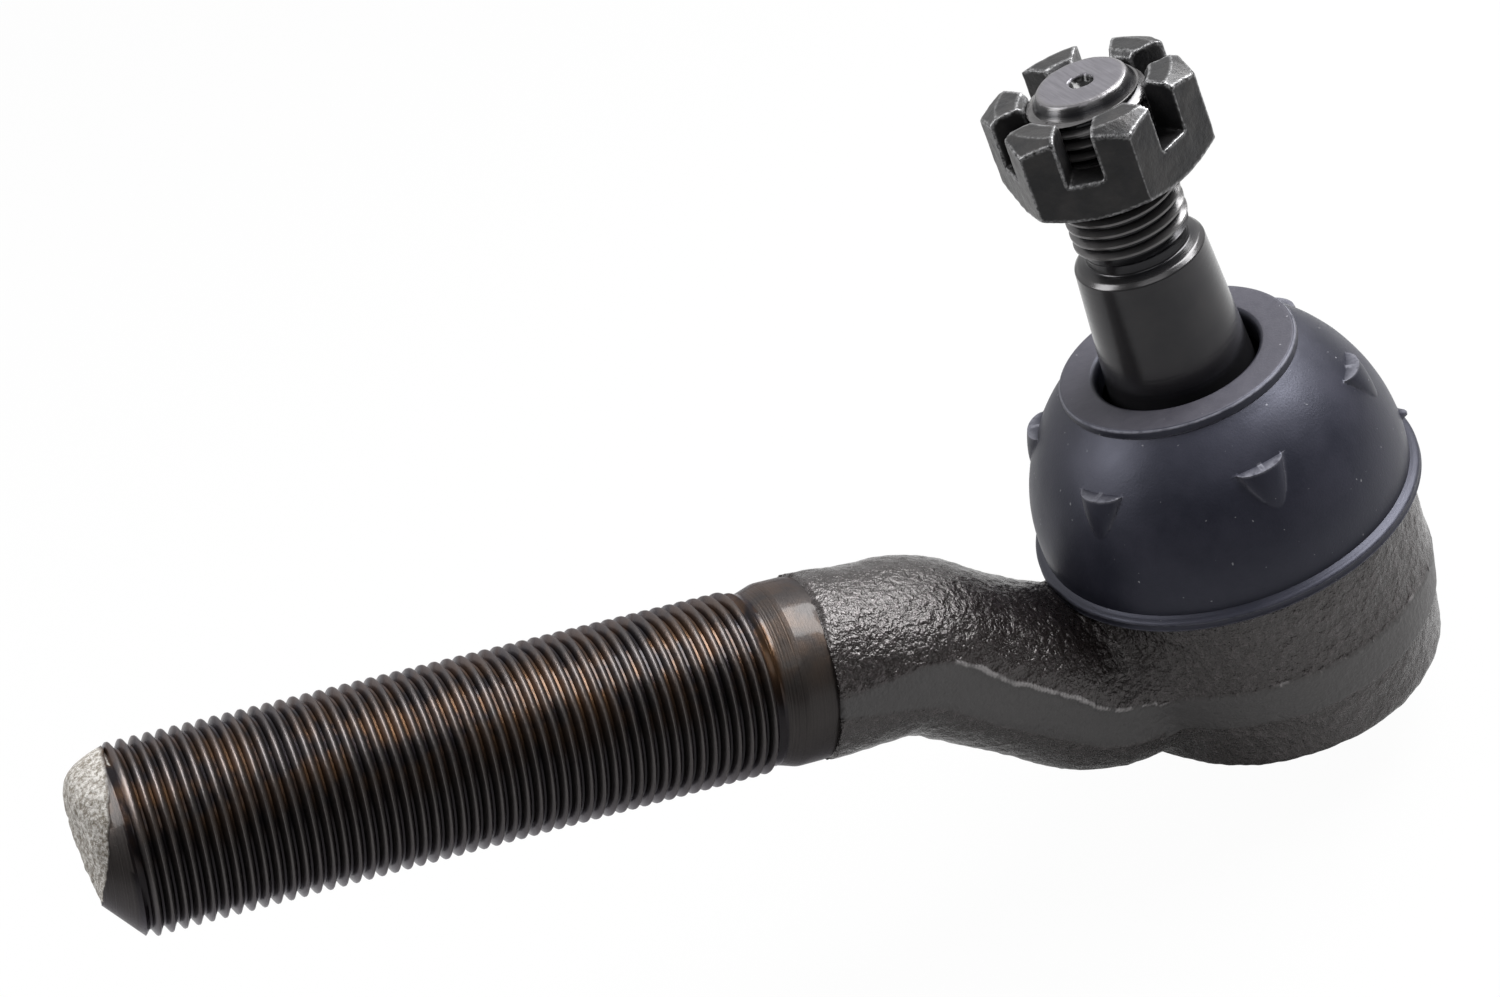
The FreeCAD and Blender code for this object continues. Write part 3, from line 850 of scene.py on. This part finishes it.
def threaded_shank(s):
    """Collar, relief cone, thread, bevel and the grainy sheared end."""
    theta = even_turns(s.columns)
    crest = SHANK_R
    depth = s.depth / MM
    root = crest - depth
    collar_r = s.collar_radius / MM
    collar_end = FORGING_END + s.collar_length / MM
    relief_r = s.relief_radius / MM
    start = THREAD_START - 0.5
    rim_r = ragged_rim(s, theta)
    rim_z = THREAD_END + (crest - rim_r) / s.bevel_slope

    def surface(z, height):
        floor = np.interp(z, [start, start + 2], [relief_r, root])
        rise = depth * height * ramp(z, start, THREAD_START + 1.6)
        limit = np.minimum(crest, crest - (z - THREAD_END) * s.bevel_slope)
        return np.minimum(floor + rise, limit)

    plug = FORGING_END - 2.6    # inside the forging, out of sight
    profile = outline([(0, plug, 0), (collar_r - 0.6, plug, 0.3),
                       (collar_r - 0.1, FORGING_END - 0.3, 0.2),
                       (collar_r, FORGING_END + 0.4, 0.3), (collar_r, collar_end, 0.35),
                       (relief_r + 0.12, start - 0.5, 0.3), (relief_r, start, 0)])
    thread, thread_quads = thread_grid(start, rim_z[None], s.pitch / MM, s.columns, surface)
    piece = new_piece("threaded_shank", [
        closed(along_shank(spun(profile, theta))),
        (along_shank(thread), thread_quads),
        closed(along_shank(sheared_face(s, theta, rim_r, rim_z))),
    ])
    points = points_of(piece)
    along = points @ np.array(SHANK_AXIS)
    across = np.linalg.norm(points - along[:, None] * np.array(SHANK_AXIS), axis=1)
    ends = np.interp(np.arctan2(points[:, 1], points @ np.array(SHANK_UP)) % TURN,
                     np.append(theta, TURN), np.append(rim_r, rim_r[0]))
    on_thread = (along > THREAD_START + 0.8) & (along < THREAD_END + 0.3)
    paint(piece, "sheared", (along > THREAD_END + 0.4) & (across < ends - 0.02))
    paint(piece, "crest", ramp(across, crest - 0.16, crest - 0.03) * on_thread)
    paint(piece, "turned", (along < start + 0.1) | (along > THREAD_END + 0.9))
    return piece


def thread_material(s):
    recipe = new_recipe("oiled_thread")
    crest = recipe.painted("crest")
    turned = recipe.painted("turned")
    sheared = recipe.painted("sheared")
    patches = recipe.noise(5, 3, 0.6)
    fine = recipe.noise(0.35, 3, 0.65)
    rings = recipe.node("ShaderNodeTexNoise", {"noise_dimensions": "1D"},
                        {"W": recipe.reach(SHANK_AXIS), "Scale": 5.0, "Detail": 3.0})["Fac"]
    # Brown patches, kept to the shank's upper side: partly a real brown stain, partly a painted
    # sheen where the light falls on the top.
    stain_and_lit_top = patches.step(0.38, 0.62) * recipe.reach(SHANK_UP).step(1.0, 8.0)
    brown = recipe.mix(s.steel_colour, (0.060, 0.030, 0.012), stain_and_lit_top * 0.8)
    colour = recipe.mix(brown, s.crest_colour, crest * (0.35 + 0.5 * fine))
    colour = recipe.mix(colour, (0.045, 0.040, 0.037), turned * (0.35 + 0.5 * rings))
    grain = recipe.noise(0.55, 4, 0.75)
    face = recipe.mix((0.12, 0.105, 0.085), s.sheared_colour, grain.step(0.38, 0.62))
    colour = recipe.mix(colour, face, sheared)
    roughness = 0.24 + 0.12 * fine + 0.16 * turned + 0.3 * sheared
    height = 0.5 * fine + rings * turned + 5.0 * grain * sheared
    return recipe.finish(colour, roughness, height, 0.06, 0.8 - 0.6 * sheared,
                         **{"Coat Weight": 0.18 * (1 - sheared), "Coat Roughness": 0.12,
                            "Specular Tint": (0.50, 0.48, 0.52, 1)})


# ---- the stud --------------------------------------------------------------
def ball_stud(s):
    """Ball, neck, taper, thread, drilled end and the split pin's hole."""
    theta = even_turns(s.columns)
    ball = s.ball_radius / MM
    neck = s.neck_radius / MM
    crest = s.thread_radius / MM
    depth = s.depth / MM
    root = crest - depth
    top_r = s.taper_radius / MM
    foot_z = s.taper_start / MM
    foot_r = top_r + (TAPER_TOP_Z - foot_z) / 16
    flat_r = math.sqrt(ball ** 2 - STUD_LOW_Z ** 2)
    arc = [(ball * math.cos(a), ball * math.sin(a), 0)
           for a in np.linspace(math.asin(STUD_LOW_Z / ball), 0.0345, 24)]
    start = TAPER_TOP_Z + 1.5
    lower = outline([(0, STUD_LOW_Z, 0), (flat_r - 0.05, STUD_LOW_Z, 0.04), *arc,
                     (neck + 0.4, 0.45, 0.2), (neck, 0.9, 0.2),
                     (neck, s.neck_end / MM, 0.8), (foot_r, foot_z, 0.8),
                     (top_r, TAPER_TOP_Z - 0.55, 0.15), (top_r - 0.55, TAPER_TOP_Z, 0.15),
                     (root + 0.1, TAPER_TOP_Z + 0.35, 0.25), (root + 0.05, start, 0)])
    end = STUD_TOP_Z - 1.55

    def surface(z, height):
        rise = depth * height * ramp(z, start, start + 1.3)
        limit = np.minimum(crest, crest - (z - end + 0.25) * 2.6)
        return np.minimum(root + 0.05 + rise, np.maximum(limit, 6.15))

    body = spun(lower, theta)
    thread, thread_quads = thread_grid(start, np.full((1, s.columns), end), s.pitch / MM,
                                       s.columns, surface)
    drill = s.centre_drill / MM
    cap = outline([(surface(np.array(end), 0.0), end, 0), (5.25, STUD_TOP_Z - 0.1, 0.35),
                   (4.9, STUD_TOP_Z, 0.2), (drill + 0.25, STUD_TOP_Z, 0.12),
                   (drill * 0.8, STUD_TOP_Z - 0.7, 0.2), (0, STUD_TOP_Z - 1.3, 0)])
    cap = subdivided(cap, lambda _: 0.3)
    lid = spun(cap, theta)
    flat = lid.reshape(-1, 3)
    near_hole = ridge(np.hypot(flat[:, 0], flat[:, 1]), drill, 0.5)
    flat[:, :2] *= (1 + (0.16 * near_hole * lumps(flat, 0.9, 31)))[:, None]
    flat[:, 2] += 0.04 * lumps(flat, 1.2, 32) * (flat[:, 2] > STUD_TOP_Z - 0.3)
    piece = new_piece("tapered_stud", [closed(body), (thread, thread_quads), closed(lid)])
    drill_pin_hole(piece)
    points = points_of(piece)
    across = np.hypot(points[:, 0], points[:, 1])
    z = points[:, 2]
    crestness = ramp(across, root + 0.5 * depth, crest - 0.02)
    crestness *= (z > start + 0.3) & (z < end)
    shoulder = ridge(z, TAPER_TOP_Z - 0.3, 0.4) * (across > root + 0.4)
    rim = ridge(z, end, 0.25) + ridge(across, 5.1, 0.3) * (z > end)
    paint(piece, "worn", np.clip(crestness + 0.4 * shoulder + 0.8 * rim, 0, 1))
    paint(piece, "end_face", (z > STUD_TOP_Z - 0.25) & (across > drill))
    # Inside the centre hole, where the material paints shade.
    paint(piece, "drilled", (z > end) & (across < drill + 0.1))
    return piece


def drill_pin_hole(piece):
    """Cut the split pin's hole through the thread."""
    radius = COTTER["dims"]["r_mm"]
    reach = COTTER["dims"]["length_mm"] * 0.8
    profile = np.array([(0, -reach), (radius, -reach), (radius, reach), (0, reach)])
    drill = new_piece("pin_drill", [closed(spun(profile, even_turns(40)))])
    turn = Vector((0, 0, 1)).rotation_difference(Vector(COTTER["axis"])).to_matrix().to_4x4()
    drill.matrix_world = Matrix.Translation(Vector(COTTER["pos_m"])) @ turn
    cut = piece.modifiers.new("pin hole", "BOOLEAN")
    cut.object = drill
    cut.operation = "DIFFERENCE"
    cut.solver = "EXACT"
    bpy.context.view_layer.update()
    settle(piece)
    bpy.data.objects.remove(drill)
    weld(piece, 36)


def stud_material(s):
    recipe = new_recipe("stud_black")
    worn = recipe.painted("worn")
    face = recipe.painted("end_face")
    drilled = recipe.painted("drilled")
    patches = recipe.noise(4, 4, 0.6)
    specks = recipe.noise(0.4, 3, 0.7)
    rings = recipe.noise(0.35, 3, 0.6, recipe.stretch(0.06, 0.06, 1.0))
    lines = recipe.noise(0.3, 2, 0.6, recipe.stretch(1.0, 0.08, 0.2))
    colour = recipe.mix(s.steel_colour, (0.017, 0.016, 0.017), patches.step(0.4, 0.75) * 0.6)
    colour = recipe.mix(colour, (0.13, 0.125, 0.14), face * (0.4 + 0.6 * lines))
    colour = recipe.mix(colour, s.worn_colour, worn * (0.35 + 0.45 * patches))
    # Painted shade: the inside of the centre hole is darkened.
    colour = recipe.mix(colour, (0.006, 0.006, 0.006), drilled * 0.8)
    roughness = 0.17 + 0.08 * rings + 0.05 * specks + 0.14 * face
    height = rings * (1 - face) + 2.0 * lines * face + 0.25 * specks
    return recipe.finish(colour, roughness, height, 0.02, 0.6)


# ---- the slotted nut -------------------------------------------------------
def slotted_nut(s):
    """The nut with softened, rubbed edges."""
    piece = remeshed_copy("castle_nut", "slotted_nut", s.grid / MM)
    soften = piece.modifiers.new("tumbled edges", "SMOOTH")
    soften.iterations = 3
    soften.factor = 0.5
    settle(piece)
    edges = convex_edges(piece)
    paint(piece, "worn", ramp(edges, 0.003, 0.010))
    points = points_of(piece)
    dents = 0.035 * lumps(points, 1.4, 41) + 0.02 * lumps(points, 0.6, 42)
    move_points(piece, points + dents[:, None] * normals_of(piece))
    shade(piece, 60)
    return piece


def nut_material(s):
    recipe = new_recipe("nut_phosphate")
    worn = recipe.painted("worn")
    patches = recipe.noise(3.5, 4, 0.6)
    specks = recipe.noise(0.45, 3, 0.7)
    colour = recipe.mix(s.steel_colour, (0.022, 0.021, 0.021), patches.step(0.35, 0.7))
    colour = recipe.mix(colour, s.worn_colour, worn * specks.step(0.30, 0.72) * 0.9)
    roughness = 0.34 + 0.16 * specks - 0.08 * worn
    return recipe.finish(colour, roughness, specks + 0.8 * patches, 0.05, 0.6)


# ---- the dust cover --------------------------------------------------------
class CoverShape:
    """The dust cover's sizes in millimetres, with heights over its foot."""

    def __init__(self, s):
        self.dome = s.dome_radius / MM
        self.centre = s.dome_centre / MM
        self.inner = self.dome - s.wall / MM
        self.rim = s.rim_radius / MM
        self.crown = s.crown_radius / MM
        self.hole = s.crown_hole / MM
        self.top = high_z("dust_boot") - BOOT_FOOT_Z
        self.ledge = self.top - s.crown_edge / MM
        self.lug_top = s.lug_top / MM
        self.start = s.rim_height / MM + 0.1
        groove_r = self.crown - 0.35
        self.groove = self.centre + math.sqrt(self.dome ** 2 - groove_r ** 2)

    def wall(self, radius, heights):
        """Corners along the dome's wall at that radius."""
        return [(math.sqrt(radius ** 2 - (h - self.centre) ** 2), h, 0) for h in heights]

    def spacing(self, place):
        """How long the profile's runs may be there: short over the lugs and the tab."""
        r, h = place
        if self.lug_top - 5.2 < h < self.lug_top + 0.05 and 18 < r < 23.2:
            return 0.16
        return 0.3 if 3.8 < h < 6.0 and r > 21 else 0.6

    def profile(self):
        """The wall's whole section, from the bore down the inside and up the outside."""
        rim, crown, hole, top = self.rim, self.crown, self.hole, self.top
        under = top - 3.4
        climb = np.concatenate([np.linspace(self.start, self.lug_top, 30)[:-1],
                                [self.lug_top, self.lug_top + 0.03],
                                np.linspace(self.lug_top + 0.25, self.groove, 14)])
        bead = [(rim - 0.35, 0, 0), (rim - 0.1, 0.08, 0), (rim, 0.22, 0),
                (rim + 0.06, 0.32, 0), (rim - 0.03, 0.45, 0), (rim - 0.05, 0.95, 0),
                (rim + 0.04, 1.1, 0), (rim - 0.02, 1.25, 0), (rim - 0.25, 1.42, 0),
                (rim - 0.62, 1.55, 0.1)]
        lip = [(crown - 0.05, self.ledge + 0.05, 0.08), (crown, self.ledge + 0.25, 0.12),
               (crown, top - 0.3, 0.15), (crown - 0.35, top, 0.2),
               (hole + 0.5, top, 0.35), (hole, top - 0.6, 0.4), (hole, under, 0.3)]
        inside = self.wall(self.inner, np.linspace(under, 0.0, 26)[:-1])
        section = outline([*self.wall(self.inner, [0]), *bead,
                           *self.wall(self.dome, climb), *lip, *inside])
        section = subdivided(section, self.spacing)
        return np.vstack([section, section[:1]])


def dust_cover_turns(s):
    """Directions of the columns, closer together over the lugs and the tab."""
    spots = [(s.lug_turn + k * TURN / s.lug_count, math.radians(9.5))
             for k in range(s.lug_count)]
    spots.append((FLASH_TAB_TURN, math.radians(3.5)))
    turns = []
    at = -math.pi
    while at < math.pi - math.radians(0.2):
        turns.append(at)
        close = any(abs(turn_from(at, turn)) < reach for turn, reach in spots)
        at += math.radians(0.36 if close else 1.3)
    return np.array(turns)


def lug_relief(s, radii, heights, turns):
    """How far the lugs stand out, and where their edges are painted light: partly chalky bloom,
    partly a painted highlight.
    """
    lug_top = s.lug_top / MM
    proud = np.zeros((len(radii), len(turns)))
    edge = np.zeros_like(proud)
    rise = np.clip((heights - lug_top) / (s.lug_height / MM) + 1, 0, 1)
    rise = np.where(heights > lug_top + 0.01, 0, rise)
    half = s.lug_half_width / MM * rise ** 0.55 + 1e-6
    for k in range(s.lug_count):
        gap = turn_from(turns, s.lug_turn + k * TURN / s.lug_count)
        along = np.abs(radii * gap[None])
        body = np.clip(1 - (along / half) ** 2, 0, 1) ** 0.55
        proud = np.maximum(proud, s.lug_proud / MM * rise * body)
        # Lines along the lug's sides and its shelf, painted light: partly bloom, partly a
        # painted highlight.
        rim_line = ridge(along / half, 1, 0.10) * (rise > 0.25)
        shelf_line = ridge(heights, lug_top, 0.14) * (along < half + 0.3)
        edge = np.maximum(edge, np.maximum(0.35 * rim_line, shelf_line))
    return proud, edge


def dust_cover(s):
    """Domed rubber cover with its crown, beaded rim, six lugs and a flash tab."""
    shape = CoverShape(s)
    turns = dust_cover_turns(s)
    profile = shape.profile()
    radii, heights = profile[:, :1], profile[:, 1:]
    skin = np.sqrt(np.maximum((shape.inner + 1.0) ** 2 - (heights - shape.centre) ** 2, 0))
    outside = radii > skin
    proud, edge = lug_relief(s, radii, heights, turns)
    tab = (np.exp(-((radii * turn_from(turns, FLASH_TAB_TURN)[None]) / 0.55) ** 4)
           * np.exp(-((heights - 4.8) / 0.45) ** 4) * outside)
    proud = proud * outside + 0.9 * tab
    edge = np.maximum(edge * outside, tab)
    flat = ring_grid(radii + proud, heights + BOOT_FOOT_Z, turns).reshape(-1, 3)
    swell = 0.06 * lumps(flat, 7.5, 51) + 0.015 * lumps(flat, 1.8, 52)
    on_dome = outside & (heights > shape.start + 0.4) & (heights < shape.groove - 0.4)
    on_dome = np.broadcast_to(on_dome, proud.shape).ravel()
    outward = flat / np.linalg.norm(flat, axis=1)[:, None]
    flat = flat + (swell * on_dome)[:, None] * outward
    # Lines along the beads, the crown's rim and its ledge, painted light: partly bloom, partly a
    # painted highlight.
    beads = (ridge(heights, 0.32, 0.09) + ridge(heights, 1.12, 0.1)) * (radii > shape.rim - 0.1)
    crown_line = ridge(heights, shape.top - 0.15, 0.16) * (radii > shape.crown - 0.25)
    ledge_line = ridge(heights, shape.ledge + 0.12, 0.12) * (radii > shape.crown - 0.15)
    ring_edge = np.maximum(0.4 * beads, np.maximum(crown_line, 0.6 * ledge_line))
    edge = np.maximum(edge, ring_edge)
    crown_face = np.broadcast_to((heights > shape.top - 0.05).astype(float), proud.shape)
    piece = new_piece("dust_cover", [closed(flat.reshape(*proud.shape, 3))], 50)
    carry(piece, flat, {"edge": edge.ravel(), "crown": crown_face.ravel()})
    return piece


def carry(piece, points, layers):
    """Paint numbers known at grid points onto a welded piece."""
    from_key = {tuple(key): index for index, key in enumerate(np.round(points, 3))}
    order = [from_key.get(tuple(key), 0) for key in np.round(points_of(piece), 3)]
    for name, values in layers.items():
        paint(piece, name, values[order])


def rubber_material(s):
    recipe = new_recipe("cover_rubber")
    edge = recipe.painted("edge")
    crown = recipe.painted("crown")
    clouds = recipe.noise(6, 4, 0.6)
    bloom = recipe.noise(1.3, 4, 0.7)
    grain = recipe.noise(0.3, 2, 0.6)
    speck = recipe.noise(0.7, 1, 0.5).step(0.76, 0.80)
    colour = recipe.mix(s.rubber_colour, (0.009, 0.009, 0.014), clouds.step(0.35, 0.7))
    colour = recipe.mix(colour, (0.040, 0.038, 0.044), crown * (0.3 + 0.7 * bloom))
    # Painted highlight along the edges, mixed with chalky bloom.
    chalk_and_edge_highlight = edge * bloom.step(0.25, 0.6) * 0.75
    colour = recipe.mix(colour, s.bloom_and_edge_highlight_colour, chalk_and_edge_highlight)
    colour = recipe.mix(colour, (0.20, 0.20, 0.21), speck * 0.55)
    roughness = 0.38 + 0.18 * clouds + 0.14 * bloom * crown + 0.2 * chalk_and_edge_highlight
    height = 0.35 * grain + 0.9 * bloom * crown + 0.25 * bloom
    return recipe.finish(colour, roughness, height, 0.045, 0.0,
                         **{"Specular IOR Level": 0.36, "Specular Tint": (0.78, 0.80, 1.0, 1)})


# ---- parts inside and underneath -------------------------------------------
def plain_metal(name, colour, dark, roughness, feature, depth, lined=False):
    """Metal finish for the parts that keep their CAD shape."""
    recipe = new_recipe(name)
    place = recipe.stretch(0.08, 0.08, 1.0) if lined else recipe.place
    grain = recipe.noise(feature, 4, 0.65, place)
    stains = recipe.noise(3.0, 3, 0.6)
    mixed = recipe.mix(dark, colour, grain.step(0.3, 0.65) * (0.5 + 0.5 * stains))
    return recipe.finish(mixed, roughness + 0.2 * stains, grain, depth, 0.9)


def fitting_spring(material):
    """The fitting's spring, copied from its CAD node. The real spring shortens as the check ball
    is pushed in; this copy keeps one length.
    """
    coil = frame["nodes"]["grease_fitting_spring"].data.copy()
    piece = finished(placed("fitting_spring", coil), material, "grease_fitting_spring")
    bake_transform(piece)


def finish_inner_parts(s):
    """Procedural finishes on the parts that keep their CAD shape."""
    nodes = frame["nodes"]
    sintered = plain_metal("sintered_bearing", s.sintered_colour, (0.03, 0.028, 0.026),
                           0.42, 0.5, 0.04)
    blued = plain_metal("blued_spring", s.spring_colour, (0.018, 0.02, 0.03),
                        0.28, 0.4, 0.015, lined=True)
    pressed = plain_metal("pressed_cover", s.cover_colour, (0.05, 0.048, 0.045),
                          0.34, 0.6, 0.03)
    plated = plain_metal("plated_fitting", s.plated_colour, (0.25, 0.19, 0.08),
                         0.25, 0.7, 0.015)
    bright = plain_metal("bright_ball", (0.55, 0.55, 0.56), (0.32, 0.32, 0.33),
                         0.12, 0.8, 0.004)
    for node, material in (("half_ball_bearing", sintered), ("lower_bearing_seat", sintered),
                           ("preload_spring", blued), ("end_cover_plate", pressed),
                           ("grease_fitting_body", plated),
                           ("grease_fitting_ball", bright)):
        dress(nodes[node], material)
    fitting_spring(blued)


# ---- stage -----------------------------------------------------------------
def make_floor(s):
    low = CAD_BOX[0].z / MM
    middle = (CAD_BOX[0] + CAD_BOX[1]) / 2 / MM
    reach = 1500
    corners = [(middle.x + x * reach, middle.y + y * reach, low - 0.3)
               for x, y in ((-1, -1), (1, -1), (1, 1), (-1, 1))]
    mesh = bpy.data.meshes.new("floor")
    mesh.from_pydata([[c * MM for c in corner] for corner in corners], [], [(0, 1, 2, 3)])
    floor = placed("floor", mesh)
    recipe = new_recipe("pale_floor")
    cloud = recipe.noise(40, 2)
    colour = recipe.mix(s.floor_colour, (0.33, 0.33, 0.33), cloud * 0.3)
    matte = recipe.node("ShaderNodeBsdfPrincipled", {}, {"Base Color": colour,
                                                         "Roughness": 0.9})["BSDF"]
    white = recipe.node("ShaderNodeEmission", {}, {"Strength": 1.0})["Emission"]
    seen = recipe.node("ShaderNodeLightPath", {}, {})["Is Camera Ray"]
    mixed = recipe.node("ShaderNodeMixShader", {}, {0: seen * s.floor_white, 1: matte, 2: white})
    recipe.node("ShaderNodeOutputMaterial", {}, {"Surface": mixed["Shader"]})
    dress(floor, recipe.owner)


def soft_light(name, place, aim, width, height, watts):
    """A soft box that faces the point it is aimed at."""
    light = bpy.data.lights.new(name, "AREA")
    light.shape = "RECTANGLE"
    light.size = width
    light.size_y = height
    light.energy = watts
    lamp = placed(name, light)
    lamp.location = place
    lamp.rotation_euler = (aim - place).to_track_quat("-Z", "Y").to_euler()


def make_camera(s):
    back = Vector((math.sin(s.azimuth) * math.cos(s.elevation),
                   -math.cos(s.azimuth) * math.cos(s.elevation), math.sin(s.elevation)))
    level = Vector((math.cos(s.azimuth), math.sin(s.azimuth), 0))
    upright = back.cross(level)
    right = math.cos(s.roll) * level + math.sin(s.roll) * upright
    up = math.cos(s.roll) * upright - math.sin(s.roll) * level
    data = bpy.data.cameras.new("camera")
    data.lens = s.lens
    data.sensor_width = 36
    data.clip_start = 0.01
    camera = placed("camera", data)
    turn = Matrix((right, up, back)).transposed().to_4x4()
    camera.matrix_world = Matrix.Translation(Vector(s.target) + back * s.distance) @ turn
    bpy.context.scene.camera = camera


def white_surround(s):
    """A dim room in front of the object and a bright one behind and above it. The
    camera itself sees plain white."""
    recipe = Recipe(bpy.data.worlds.new("white_surround"))
    direction = recipe.node("ShaderNodeTexCoord", {}, {})["Generated"]
    side = Vector(s.bright_side).normalized()
    toward = recipe.node("ShaderNodeVectorMath", {"operation": "DOT_PRODUCT"},
                         {0: direction, 1: side})["Value"]
    level = s.dim_light + (s.bright_light - s.dim_light) * toward.step(0.05, 0.95)
    seen = recipe.node("ShaderNodeLightPath", {}, {})["Is Camera Ray"]
    strength = level.math("MAXIMUM", level, seen)
    background = recipe.node("ShaderNodeBackground", {},
                             {"Color": (1, 1, 1, 1), "Strength": strength})["Background"]
    recipe.node("ShaderNodeOutputWorld", {}, {"Surface": background})
    return recipe.owner


def make_stage(s):
    bpy.context.scene.world = white_surround(s)
    bpy.context.scene.view_settings.view_transform = "Standard"
    make_floor(s)
    aim = Vector((-0.03, 0, 0.02))
    soft_light("right_box", aim + 0.45 * Vector((0.64, 0.02, 0.74)), aim, 0.34, 0.26, 6.2)
    soft_light("left_box", aim + 0.50 * Vector((-0.73, 0.26, 0.64)), aim, 0.22, 0.30, 2.4)
    soft_light("front_fill", aim + 0.60 * Vector((-0.10, -0.62, 0.78)), aim, 0.40, 0.30, 0.8)
    make_camera(s)


# ---- operators -------------------------------------------------------------
class BuildForging(Operator):
    """Build the forged socket and neck"""

    bl_idname = "tie_rod.forging"
    bl_label = "Forged housing"

    def execute(self, context):
        s = context.scene.tie_rod_forging
        piece = finished(forged_housing(s), forged_skin_material(s), "housing")
        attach(piece, "forging")
        return {"FINISHED"}


class BuildShank(Operator):
    """Build the threaded shank with its collar and sheared end"""

    bl_idname = "tie_rod.shank"
    bl_label = "Threaded shank"

    def execute(self, context):
        s = context.scene.tie_rod_shank
        piece = finished(threaded_shank(s), thread_material(s), "housing")
        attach(piece, "forging")
        return {"FINISHED"}


class BuildStud(Operator):
    """Build the ball stud with its taper and thread"""

    bl_idname = "tie_rod.stud"
    bl_label = "Ball stud"

    def execute(self, context):
        s = context.scene.tie_rod_stud
        piece = finished(ball_stud(s), stud_material(s), "ball_stud")
        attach(piece, "stud")
        return {"FINISHED"}


class BuildNut(Operator):
    """Build the slotted nut with rubbed edges"""

    bl_idname = "tie_rod.nut"
    bl_label = "Slotted nut"

    def execute(self, context):
        s = context.scene.tie_rod_nut
        piece = finished(slotted_nut(s), nut_material(s), "castle_nut")
        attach(piece, "nut")
        return {"FINISHED"}


class BuildDustCover(Operator):
    """Build the rubber dust cover"""

    bl_idname = "tie_rod.dust_cover"
    bl_label = "Dust cover"

    def execute(self, context):
        s = context.scene.tie_rod_cover
        piece = finished(dust_cover(s), rubber_material(s), "dust_boot")
        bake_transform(piece)
        return {"FINISHED"}


class FinishInnerParts(Operator):
    """Finish the bearings, springs, end cover and grease fitting"""

    bl_idname = "tie_rod.inner_parts"
    bl_label = "Inner parts"

    def execute(self, context):
        finish_inner_parts(context.scene.tie_rod_inner)
        return {"FINISHED"}


class SetStage(Operator):
    """Set up the floor, light and camera"""

    bl_idname = "tie_rod.stage"
    bl_label = "Stage"

    def execute(self, context):
        make_stage(context.scene.tie_rod_stage)
        return {"FINISHED"}


SETTINGS = {
    "tie_rod_forging": ForgingSettings,
    "tie_rod_shank": ShankSettings,
    "tie_rod_stud": StudSettings,
    "tie_rod_nut": NutSettings,
    "tie_rod_cover": DustCoverSettings,
    "tie_rod_inner": InnerPartSettings,
    "tie_rod_stage": StageSettings,
}
OPERATORS = (BuildForging, BuildShank, BuildStud, BuildNut, BuildDustCover,
             FinishInnerParts, SetStage)


class TieRodPanel(Panel):
    """Lists the pieces and their settings"""

    bl_idname = "VIEW3D_PT_tie_rod"
    bl_label = "Tie rod end"
    bl_space_type = "VIEW_3D"
    bl_region_type = "UI"
    bl_category = "Tie rod end"

    def draw(self, context):
        for operator, (name, group) in zip(OPERATORS, SETTINGS.items()):
            box = self.layout.box()
            box.operator(operator.bl_idname)
            for key in group.__annotations__:
                box.prop(getattr(context.scene, name), key)


def register():
    for item in (*SETTINGS.values(), *OPERATORS, TieRodPanel):
        bpy.utils.register_class(item)
    for name, group in SETTINGS.items():
        setattr(bpy.types.Scene, name, PointerProperty(type=group))


def unregister():
    for name in SETTINGS:
        delattr(bpy.types.Scene, name)
    for item in reversed((*SETTINGS.values(), *OPERATORS, TieRodPanel)):
        bpy.utils.unregister_class(item)


def main():
    register()
    bpy.ops.tie_rod.forging()
    bpy.ops.tie_rod.shank()
    bpy.ops.tie_rod.stud()
    bpy.ops.tie_rod.nut()
    bpy.ops.tie_rod.dust_cover()
    bpy.ops.tie_rod.inner_parts()
    bpy.ops.tie_rod.stage()


if __name__ == "__main__":
    main()
